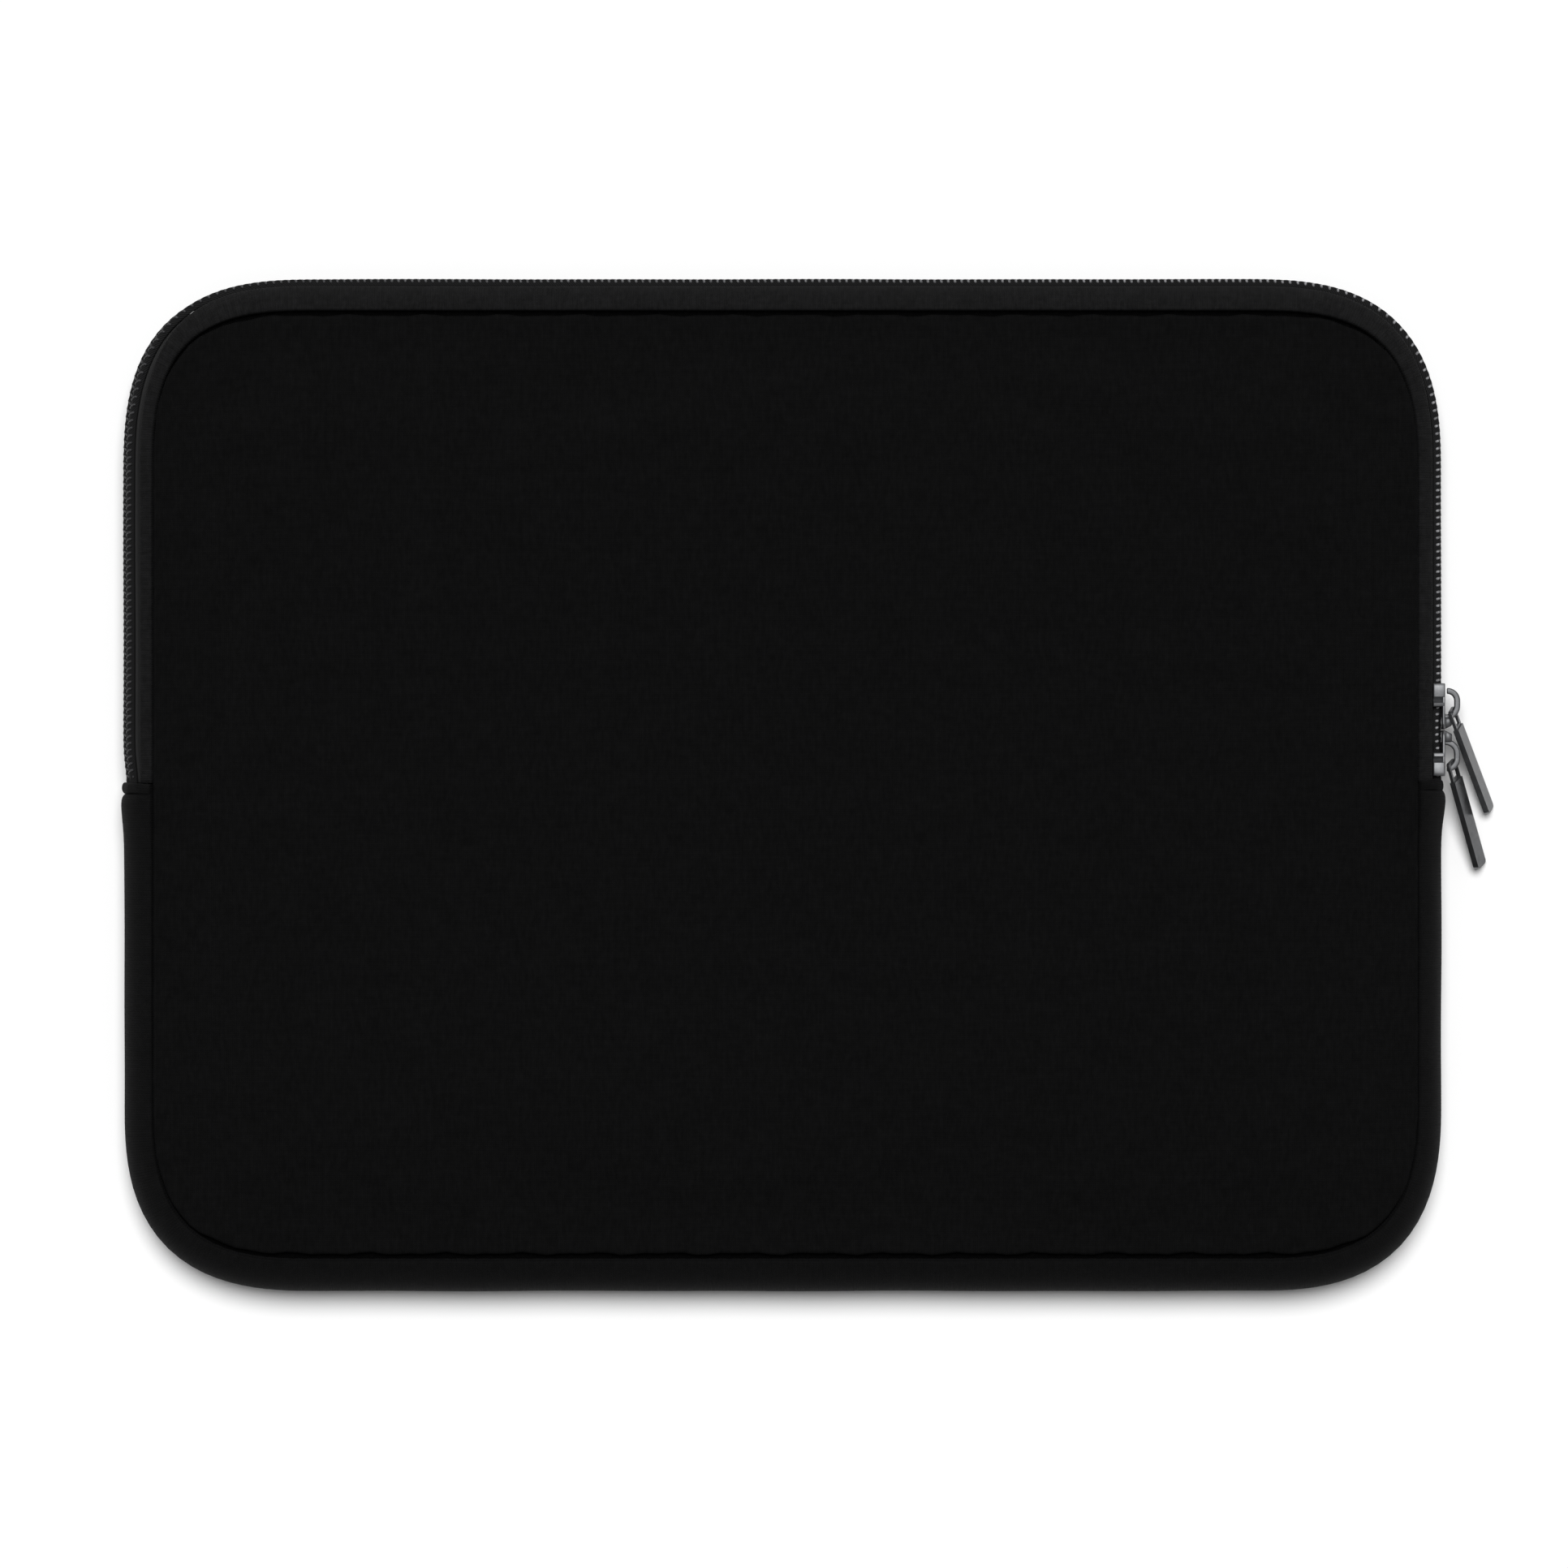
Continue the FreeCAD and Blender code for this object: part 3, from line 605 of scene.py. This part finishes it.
def field(seam, inset, steps):
    """A flat field of points inside a seam: rings that follow it, then a grid.

    Returns the points, their faces, each point's distance from the seam and its seam's angle.
    """
    stations = loop_stations()
    angle = seam(stations)
    edge = EDGE * np.cos(np.radians(angle)) - groove(stations) - inset
    rings = [stations.place((edge - step)[:, None], 0 * edge[:, None])[:, 0] for step in steps]
    inner, faces = patch(rings[-1], (len(steps) - 1) * AROUND)
    for k in range(len(steps) - 1):
        here, there = k * AROUND, (k + 1) * AROUND
        for i in range(AROUND):
            j = (i + 1) % AROUND
            faces.append((here + i, here + j, there + j, there + i))
    points = np.concatenate([*rings, inner])
    gaps = np.linalg.norm(inner[:, None, :2] - rings[0][None, :, :2], axis=2)
    distance = np.concatenate([np.repeat(steps, AROUND), gaps.min(1)])
    seams = np.concatenate([np.tile(angle, len(steps)), angle[gaps.argmin(1)]])
    return points, faces, distance, seams


def settle(points, faces, held, pressure, cap):
    """How far each point of a slack sheet rises when it settles as cloth, held at some points."""
    sheet = add_mesh("settling", points, faces)
    group = sheet.vertex_groups.new(name="held")
    group.add([int(i) for i in np.flatnonzero(held)], 1.0, "REPLACE")
    cloth = sheet.modifiers.new("Cloth", "CLOTH")
    cloth.settings.quality = 5
    cloth.settings.mass = 0.4
    cloth.settings.tension_stiffness = cloth.settings.compression_stiffness = 25
    cloth.settings.bending_stiffness = 2.0
    cloth.settings.shrink_min = -0.004
    cloth.settings.vertex_group_mass = "held"
    cloth.settings.use_pressure = True
    cloth.settings.uniform_pressure_force = pressure
    cloth.settings.effector_weights.gravity = 0
    scene = bpy.context.scene
    scene.frame_start, scene.frame_end = 1, SETTLE_FRAMES
    for step in range(1, SETTLE_FRAMES + 1):
        scene.frame_set(step)
    settled = sheet.evaluated_get(bpy.context.evaluated_depsgraph_get()).data
    moved = np.array([v.co for v in settled.vertices]) / MM
    scene.frame_set(1)
    bpy.data.objects.remove(sheet)
    return np.clip(moved[:, 2] - points[:, 2], -cap, cap)


def waves(points):
    """Broad soft undulation of a panel, up to about a third of a millimetre."""
    x, y = points[:, 0], points[:, 1]
    return (0.16 * np.sin(x / 41 + 0.6) * np.cos(y / 33 - 0.4)
            + 0.1 * np.sin(x / 19 - y / 27 + 1.3) + 0.06 * np.sin(x / 12 + y / 10))


def panel_height(distance, seams, rise):
    """A panel's outer face above mid-depth: rolled down into its seam, nearly flat inside."""
    shoulder = EDGE * np.sin(np.radians(seams)) + 0.1
    bend = 0.85
    roll = bend * (1 - np.sqrt(1 - (1 - np.minimum(distance / bend, 1)) ** 2))
    flat = MID - shoulder
    inside = smooth(distance, 2.0, 30.0)
    return shoulder - roll + flat * smooth(distance, -2.0, 17.0) + inside * rise


def closed_sheet(name, top, under, faces, uvs, slot):
    """A sheet from the points of its two faces, closed by a wall round its edge."""
    count = len(top)
    walls = [(i, (i + 1) % AROUND, count + (i + 1) % AROUND, count + i) for i in range(AROUND)]
    every = faces + [tuple(count + v for v in face[::-1]) for face in faces] + walls
    piece = add_mesh(name, np.concatenate([top, under]), every, uvs, slot)
    face_outwards(piece)
    return piece


def panel(name, sign, points, faces, distance, seams, rise):
    """A neoprene panel; sign is 1 for the front and -1 for the back."""
    outer = panel_height(distance, seams, rise)
    inner = outer - THICKNESS + 0.9 * (1 - smooth(distance, 0, 2.0))
    top, under = points.copy(), points.copy()
    under[:, :2] *= 1 - 0.5 * (1 - smooth(distance, 0, 1.5))[:, None] / np.array([WIDTH, HEIGHT])
    top[:, 2], under[:, 2] = MID + sign * outer, MID + sign * inner
    uvs = np.concatenate([points[:, :2], points[:, :2] + (400, 0)])
    return closed_sheet(name, top, under, faces, uvs, "panel_neoprene")


def lining(name, sign, seam, rise):
    """The fleece inside a panel."""
    points, faces, distance, _ = field(seam, 1.6, LINING_RINGS)
    face = MID - THICKNESS - 0.15 + smooth(distance, 2.0, 30.0) * rise
    top, under = points.copy(), points.copy()
    top[:, 2], under[:, 2] = MID + sign * face, MID + sign * (face - LINING_THICKNESS)
    uvs = np.concatenate([points[:, :2]] * 2)
    piece = closed_sheet(name, top, under, faces, uvs, "lining_fleece")
    return piece


def front_cover():
    """The front panel, settled as cloth, and its lining. Both cross the fold."""
    points, faces, distance, seams = field(front_seam, 0.0, PANEL_RINGS)
    first = int(np.flatnonzero(distance >= SLACK_FROM)[0])
    slack = [tuple(v - first for v in face) for face in faces if min(face) >= first]
    held = np.zeros(len(points) - first, bool)
    held[:AROUND] = True
    rise = np.zeros(len(points))
    rise[first:] = settle(points[first:], slack, held, pressure=0.6, cap=2.2)
    rise += FRONT_CROWN * smooth(distance, 0, 70) + waves(points)
    piece = panel("front_panel", 1, points, faces, distance, seams, rise)
    inside = lining("front_lining_fleece", 1, front_seam, 0.6 * FRONT_CROWN)
    across_fold(piece)
    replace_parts(piece, "front_panel_lower", "front_panel_upper")
    across_fold(inside)
    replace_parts(inside, "front_lining_lower", "front_lining_upper")


def back_cover():
    """The back panel, flat where it lies but for shallow hollows, and its lining."""
    points, faces, distance, seams = field(back_seam, 0.0, PANEL_RINGS)
    rise = 0.3 * np.minimum(waves(points), 0)
    piece = panel("back_panel_pad", -1, points, faces, distance, seams, rise)
    inside = lining("back_lining_fleece", -1, back_seam, 0.0)
    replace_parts(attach(piece, "shell"), "back_panel")
    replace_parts(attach(inside, "shell"), "back_lining")


def across_fold(piece):
    """Bakes a piece's placement into its points."""
    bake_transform(piece)


# ---------------------------------------------------------------- the rounded edge

# Distances out from the core line.
STRIP_INNER = 8.25
TAPE_INNER, TAPE_OUTER = 7.65, 8.15
COIL_OUT, COIL_RISE = 9.76, 0.22

# Distances across the zip, from its middle.
COIL_ACROSS, COIL_REACH = 1.27, 1.22


def upper_run(step):
    """The zip's run, from just under the right tab's top to the left tab."""
    return spaced(ZIP_END - 0.5, HALF - ZIP_END + LEFT_DROP, step)


def lower_run(step):
    """The gusset's run, from the left tab round the bottom to the right tab."""
    return spaced(HALF - TAB_BOTTOM + LEFT_DROP, ROUND + TAB_BOTTOM, step)


def gusset():
    """The bottom edge: one neoprene strip bent round, swelling a little below each end tab."""
    whole = lower_run(2.6)
    start, end = whole[0], whole[-1]
    near_tab, fine = 9, 0.35
    run = np.unique(np.concatenate([spaced(start, start + near_tab, fine), whole[4:-4],
                                    spaced(end - near_tab, end, fine)]))
    stations = Stations(run)
    from_tab = np.minimum(run - start, end - run)
    on_left = run - start < end - run
    tuck = np.where(on_left, 0.9, 0.7) * np.exp(-from_tab / 0.8)
    swell = np.where(on_left, 0.85, 1.15) * np.exp(-(((from_tab - 1.6) / 7.0) ** 2)) - tuck
    slack = 0.1 * np.sin(run / 9.0) * np.sin(run / 31.0)
    piece = edge_band("bottom_gusset", "edge_neoprene", run, EDGE - THICKNESS, EDGE + swell + slack,
                      -back_seam(stations), front_seam(stations), (0.7, 0.7, 0.5, 0.5), 34)
    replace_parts(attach(piece, "shell"), "gusset")
    inside = edge_band("gusset_lining_fleece", "lining_fleece", whole, 6.5, 7.15, -70.0, 70.0,
                       (0.2, 0.2, 0.2, 0.2), 20)
    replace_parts(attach(inside, "shell"), "gusset_lining")


def zip_half(word, sign):
    """One half of the zip: its folded strip, its tape and its coil. sign is 1 for the front."""
    run = upper_run(1.3)
    stations = Stations(run)
    twist, sink = zip_twist(stations), zip_sink(stations)
    seam = front_seam(stations) if sign > 0 else back_seam(stations)
    wobble = 0.5 * np.sin(run / 17.0) * np.sin(run / 53.0 + 0.7) * smooth(run, 40, 70)
    fold = 31.5 + 8.0 * on_right(stations) + (1.05 if sign > 0 else -0.9) * twist + wobble
    thin, bold = 0.4, 0.98
    bends = (bold, 0.7, thin, bold) if sign > 0 else (0.7, bold, bold, thin)
    strip = edge_band(word + "_strip_fold", "edge_neoprene", run, STRIP_INNER - sink,
                      EDGE - 0.4 * sink, *ordered(sign, fold, seam), bends, 14, look="zip_strip")
    low, high = ordered(sign, 2.2 + sign * twist, 72.0 + 0 * twist)
    tape = edge_band(word + "_tape_weave", "zip_tape", run, TAPE_INNER - sink, TAPE_OUTER - sink,
                     low, high, (0.2,) * 4, 16)
    return strip, tape, coil(word + "_coil_wire", sign), coil_cord(word + "_coil_cord", sign)


def ordered(sign, near, far):
    """A band's low and high angle, from its edges nearer to and further from mid-depth."""
    return (near, far) if sign > 0 else (-far, -near)


def parted(stations):
    """How far each half of the zip is spread between the sliders' noses."""
    return 0.6 * (1 - smooth(np.abs(stations.run - NOSE), 2.5, 6.0))


def on_right(stations):
    """One along the straight right side, where the sliders run, and nothing past its corner."""
    return 1 - smooth(stations.run, 95, 125)


def chain(stations, out, across):
    """Places points of the zip's chain: out from the core line and across it, turned with it.

    The chain is flat, and bowed a little on the right.
    """
    out = out - 0.1 * across ** 2 * on_right(stations)[:, None]
    angles = np.degrees(np.arctan2(across, out)) + zip_twist(stations)[:, None]
    return stations.ring(np.hypot(out, across) - zip_sink(stations)[:, None], angles)


def flattened(wave, power):
    """A wave that stays longer near its ends, the more so the smaller the power."""
    return np.sign(wave) * np.abs(wave) ** power


def coil(name, sign):
    """A coil row of nylon wire, its heads meshed with the other row's.

    The wire is square to the chain at its heads and at the bends beside the strip, and moves on
    by half a pitch in each leg.
    """
    turns = int((HALF - ZIP_END + LEFT_DROP - COIL_START) / COIL_PITCH)
    per_turn = 16
    turned = np.arange(turns * per_turn + 1) / per_turn
    phase = 2 * math.pi * turned
    legs = 2 * turned
    start = COIL_START + (0.0 if sign > 0 else COIL_PITCH / 2)
    run = start + COIL_PITCH / 2 * (np.floor(legs) + smooth(legs % 1, 0.08, 0.92))
    stations = Stations(run)
    across = sign * (COIL_ACROSS + COIL_REACH * flattened(np.cos(phase), 0.6) + parted(stations))
    out = COIL_OUT + COIL_RISE * flattened(np.sin(phase), 0.5)
    path = chain(stations, out[:, None], across[:, None])[:, 0]
    ahead = np.stack([-stations.normal[:, 1], stations.normal[:, 0], 0 * run], 1)
    return tube(name, path, ahead, COIL_WIRE / 2, 8, "zip_coil", turned)


def coil_cord(name, sign):
    """The cord inside a coil row and the sewing over its legs, drawn in a little at each stitch."""
    run = spaced(COIL_START, HALF - ZIP_END + LEFT_DROP, COIL_PITCH / 5)
    stations = Stations(run)
    section = rounded_box((8.35, 0.75), (10.33, 2.25), 0.4)
    sewn = section[:, 0] > 9.5
    stitch = 0.05 * (1 - np.cos(2 * math.pi * run / COIL_PITCH))[:, None]
    out = section[:, 0] - stitch * sewn
    across = sign * (section[:, 1] + parted(stations)[:, None])
    return loft(name, chain(stations, out, across), run, "seam_thread", look="zip_cord")


def zips():
    """Both halves of the zip. The front half crosses the fold."""
    *front, front_cord = zip_half("front_zip", 1)
    *back, back_cord = zip_half("back_zip", -1)
    across_fold(front_cord)
    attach(back_cord, "shell")
    for piece, node in zip(front, ("strip", "tape", "coil")):
        across_fold(piece)
        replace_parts(piece, f"front_zip_{node}", f"front_{node}_end_right",
                    f"front_{node}_end_left")
    for piece, node in zip(back, ("strip", "tape", "coil")):
        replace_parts(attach(piece, "shell"), "back_zip_" + node)


def end_tabs():
    """The folded tab over each end of the zip: a soft roll round the edge, a little crumpled."""
    right = (TAB_BOTTOM, ZIP_END)
    left = (HALF - ZIP_END + LEFT_DROP, HALF - TAB_BOTTOM + LEFT_DROP)
    end_tab("right", right, 10.3, 0.45, "panel_neoprene", 0.35)
    end_tab("left", left, 10.1, 0.75, "edge_neoprene", 0.0)


def end_tab(word, ends, outer, puff, look, clear):
    """One tab: outer is its ends' radius, puff how far it stands above them, and clear the room
    that it leaves for a slider.
    """
    run = spaced(*ends, 0.2)
    stations = Stations(run)
    roll = np.sqrt(1 - (0.985 * np.linspace(-1, 1, len(run))) ** 2)
    front_edge, back_edge = front_seam(stations) - 1.5, back_seam(stations) - 4
    count = 24
    radii, angles = band_section(8.0 - 0.2 * roll, outer + puff * roll, -back_edge, front_edge,
                                 (0.5, 0.5, 0.3, 0.3), count)
    crease = np.sin(np.radians(angles * 5.0)) * np.sin(np.radians(angles * 11.0 + 40))
    rows = stations.ring(radii + 0.16 * crease * roll[:, None], angles)
    rows[..., 1] += (0.22 * np.sin(np.radians(angles * 3.1 + 20))
                     + 0.1 * np.sin(np.radians(angles * 8.3 + 70))
                     - clear * (1 - smooth(np.abs(angles), 28, 45)))
    piece = loft("end_tab_roll_" + word, np.roll(rows, -2 * count, axis=1), run, "edge_neoprene",
                 look=look)
    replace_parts(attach(piece, "shell"), "end_tab_" + word)


def seam_stitches(name, sign, seam):
    """Thread deep in the groove beside a panel, rising at each stitch."""
    run = np.arange(0, ROUND, STITCH_PITCH / 8)
    stations = Stations(run)
    phase = 2 * math.pi * run / STITCH_PITCH
    angle = seam(stations)
    depth, lift, half_height = 2.7, 0.4, 0.3
    out = EDGE * np.cos(np.radians(angle)) - groove(stations) / 2 + 0.12 * np.sin(phase)
    up = EDGE * np.sin(np.radians(angle)) - depth + lift * np.exp(2.2 * (np.cos(phase) - 1))
    path = stations.place(out[:, None], sign * up[:, None])[:, 0]
    ahead = np.roll(path, -1, axis=0) - np.roll(path, 1, axis=0)
    ahead /= np.linalg.norm(ahead, axis=1)[:, None]
    side = np.cross(ahead, (0, 0, 1.0))
    side /= np.linalg.norm(side, axis=1)[:, None]
    rise = np.cross(side, ahead)
    turn = np.linspace(0, 2 * math.pi, 6, endpoint=False)[None, :, None]
    half_width = (groove(stations) / 2 + 0.6)[:, None, None]
    rows = (path[:, None] + half_width * side[:, None] * np.cos(turn)
            + half_height * rise[:, None] * np.sin(turn))
    return loft(name, rows, run, "seam_thread", closed=True)


def seam_threads():
    """The thread of each seam. The front one crosses the fold."""
    front_thread = seam_stitches("front_seam_stitches", 1, front_seam)
    across_fold(front_thread)
    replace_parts(front_thread, "front_seam_thread_lower", "front_seam_thread_upper")
    back_thread = seam_stitches("back_seam_stitches", -1, back_seam)
    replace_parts(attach(back_thread, "shell"), "back_seam_thread")


# ---------------------------------------------------------------- sliders

# A slider's own coordinates are out from the core line, along from its nose to its tail, and
# across the zip.
PLATE_ENDS = (0.1, 11.9)
PLATE_TOP = 11.25
FLANGE_BOTTOM, FLANGE_TOP, FLANGE_NEAR = 7.9, 10.85, 3.05


def slider_frame(word):
    """Places a slider's own coordinates on the chain: the lower slider's tail points down."""
    turn = Matrix.Rotation(math.pi, 4, "X") if word == "lower" else Matrix.Identity(4)
    return Matrix.Translation(Vector((CORE_X, NOSE, MID)) * MM) @ turn


def slab(section, spots, sizes):
    """Copies of a flat section, (out, along), at spots across the slider, each with its size."""
    middle = (section.max(0) + section.min(0)) / 2
    rows = []
    for spot, size in zip(spots, sizes):
        flat = middle + (section - middle) * size
        rows.append(np.stack([flat[:, 0], flat[:, 1], np.full(len(flat), spot)], -1))
    return np.array(rows)


def slider_plate(inner, outer, half, dome):
    """A slider's outer or under plate: flat inside, domed outside, rounded in plan."""
    start, end = PLATE_ENDS
    rows = []
    for share in np.sin(np.linspace(-math.pi / 2, math.pi / 2, 25)):
        cut = 1.6 * (1 - math.sqrt(1 - max(0.0, (abs(share) - 0.6) / 0.4) ** 2 * 0.98))
        rise = outer - dome * share ** 2
        bend = min(0.2, (rise - inner) / 2.1)
        section = rounded_box((inner, start + cut), (rise, end - cut), bend)
        rows.append(np.stack([section[:, 0], section[:, 1], 0 * section[:, 0] + share * half], -1))
    return np.array(rows)


def slider_flange(sign):
    """A flange: a thick block at the tail, a deep recess, then a thin lip towards the nose."""
    marks = ((5.95, 4.2), (6.05, 4.5), (6.25, 4.62), (6.8, 4.68), (6.95, 4.55), (7.05, 4.25),
             (7.7, 3.25), (8.3, 4.25), (8.4, 4.55), (8.55, 4.74), (9.4, 4.84),
             (10.2, 4.88), (11.0, 4.86), (11.7, 4.78), (11.88, 4.6), (11.95, 4.1))
    rows = []
    for along, reach in marks:
        bend = min(0.3, (reach - FLANGE_NEAR) / 2.1)
        section = rounded_box((FLANGE_BOTTOM, FLANGE_NEAR), (FLANGE_TOP, reach), bend)
        rows.append(np.stack([section[:, 0], 0 * section[:, 0] + along, sign * section[:, 1]], -1))
    return np.array(rows)


def skins_mesh(name, parts, look):
    """One metal piece made of several closed skins."""
    points, faces = [], []
    for rows in parts:
        first = len(points)
        points.extend(rows.reshape(-1, 3))
        faces.extend([tuple(first + v for v in face) for face in skin(rows)])
    piece = add_mesh(name, points, faces, None, "gunmetal", look)
    face_outwards(piece)
    return piece


def slider(word):
    """A slider's body: outer plate, under plate, two flanges and the divider at its nose."""
    outer = slider_plate(10.4, PLATE_TOP, 4.5, 0.5)
    under = slider_plate(6.65, 7.45, 3.6, 0.0)
    divider = slab(rounded_box((7.1, 0.3), (10.8, 3.5), 0.25), (-0.3, -0.12, 0.12, 0.3),
                   (0.12, 0.8, 0.8, 0.12))
    parts = [outer, under, divider, slider_flange(1), slider_flange(-1)]
    piece = skins_mesh(f"{word}_slider_shell", parts, "slider_metal")
    sharpen(piece, 40)
    piece.matrix_world = slider_frame(word)
    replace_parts(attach(piece, f"{word}_slider_body"), f"{word}_slider")
    crown(word)


def crown(word):
    """The hook that holds the pull, a flattened wire blunt at its free end, and its post."""
    base, top = PLATE_TOP - 0.15, 15.15
    half, half_thick = 0.78, 0.62
    middle = top - half
    root, tail = 2.4 + half, 10.8 - half
    wide, tight = 3.0, 2.5
    corner = np.radians(np.linspace(0, 90, 12))
    up = np.stack([middle - wide * (1 - np.sin(corner)), root + wide * (1 - np.cos(corner))], 1)
    over = np.stack([middle - tight * (1 - np.cos(corner)),
                     tail - tight * (1 - np.sin(corner))], 1)
    line = np.concatenate([[[base - 0.3, root]], up, over, [[11.9, tail], [11.72, tail]]])
    path = np.stack([line[:, 0], line[:, 1], 0 * line[:, 0]], 1)
    ahead = np.gradient(path, axis=0)
    ahead /= np.linalg.norm(ahead, axis=1)[:, None]
    side = np.cross(ahead, (0, 0, 1.0))
    size = np.ones((len(path), 1, 1))
    size[-1] = 0.75
    section = size * rounded_box((-half, -half_thick), (half, half_thick), 0.42, 5)
    hook = (path[:, None] + side[:, None] * section[..., :1]
            + np.array([0, 0, 1.0]) * section[..., 1:])
    post = slab(rounded_box((10.9, 0.2), (13.0, 3.2), 0.3), (-1.15, -0.7, 0.7, 1.15),
                (0.8, 1.0, 1.0, 0.8))
    slope = 0.5 * np.maximum(post[..., 0] - 11.2, 0)
    post[..., 1] += slope * (post[..., 1] < 1.7)
    piece = skins_mesh(f"{word}_crown_hook", [hook, post], "crown_metal")
    piece.matrix_world = slider_frame(word)
    sharpen(piece, 60)
    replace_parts(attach(piece, f"{word}_slider_body"), f"{word}_crown")


def pull_finish(word):
    """The pull keeps its CAD shape, with softened edges and the plating."""
    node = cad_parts[word + "_pull"]
    node.data.materials.clear()
    node.data.materials.append(MATERIALS["gunmetal"])
    weld = node.modifiers.new("Weld", "WELD")
    weld.merge_threshold = 1e-6
    bevel = node.modifiers.new("Bevel", "BEVEL")
    bevel.width = 0.0003
    bevel.segments = 3
    bevel.limit_method = "ANGLE"
    bevel.angle_limit = math.radians(35)
    bevel.harden_normals = True


# ---------------------------------------------------------------- the scene

FLOOR_REACH = 6e4
FLOOR_LEVEL = -0.05
LENS, SENSOR = 195.0, 36.0
VIEW_WIDTH = 404.9          # what the camera takes in across, at mid-depth
SUN_FROM = (0.01, 0.3, 1.0)


def studio_sky():
    """A sky that lights the sleeve dimly and evenly and shows white behind it."""
    world = bpy.data.worlds.new("studio")
    world.use_nodes = True
    tree = world.node_tree
    background = tree.nodes["Background"]
    background.inputs["Color"].default_value = (1, 1, 1, 1)
    seen = tree.nodes.new("ShaderNodeLightPath").outputs["Is Camera Ray"]
    level = tree.nodes.new("ShaderNodeMapRange")
    level.inputs["To Min"].default_value = 0.21
    level.inputs["To Max"].default_value = 1.0
    tree.links.new(seen, level.inputs["Value"])
    tree.links.new(level.outputs["Result"], background.inputs["Strength"])
    return world


def stage():
    """A plain white floor, a soft main light from beyond the zip, a pale sky and the camera."""
    scene = bpy.context.scene
    scene.view_settings.view_transform = "Standard"
    scene.world = studio_sky()
    corners = [(x * FLOOR_REACH, y * FLOOR_REACH, FLOOR_LEVEL)
               for x, y in ((-1, -1), (1, -1), (1, 1), (-1, 1))]
    floor = add_mesh("floor", corners, [(0, 1, 2, 3)])
    floor.data.materials.append(new_material("paper", Base_Color=grey(0.9, 0.9), Roughness=0.9,
                                             Specular_IOR_Level=0.1))
    lamp = bpy.data.lights.new("window", "SUN")
    lamp.energy = 3.15
    lamp.angle = math.radians(29)
    light = bpy.data.objects.new("window", lamp)
    light.rotation_euler = Vector(SUN_FROM).to_track_quat("Z", "Y").to_euler()
    scene.collection.objects.link(light)
    lens = bpy.data.cameras.new("camera")
    lens.lens = LENS
    lens.sensor_width = SENSOR
    lens.clip_start, lens.clip_end = 0.1, 100.0
    camera = bpy.data.objects.new("camera", lens)
    camera.location = Vector((0.3, 0.4, MID + VIEW_WIDTH * LENS / SENSOR)) * MM
    scene.collection.objects.link(camera)
    scene.camera = camera


def build():
    """The stage, and every piece of the sleeve from its panels to its pulls."""
    stage()
    front_cover()
    back_cover()
    gusset()
    zips()
    end_tabs()
    seam_threads()
    for word in ("upper", "lower"):
        slider(word)
        pull_finish(word)


build()
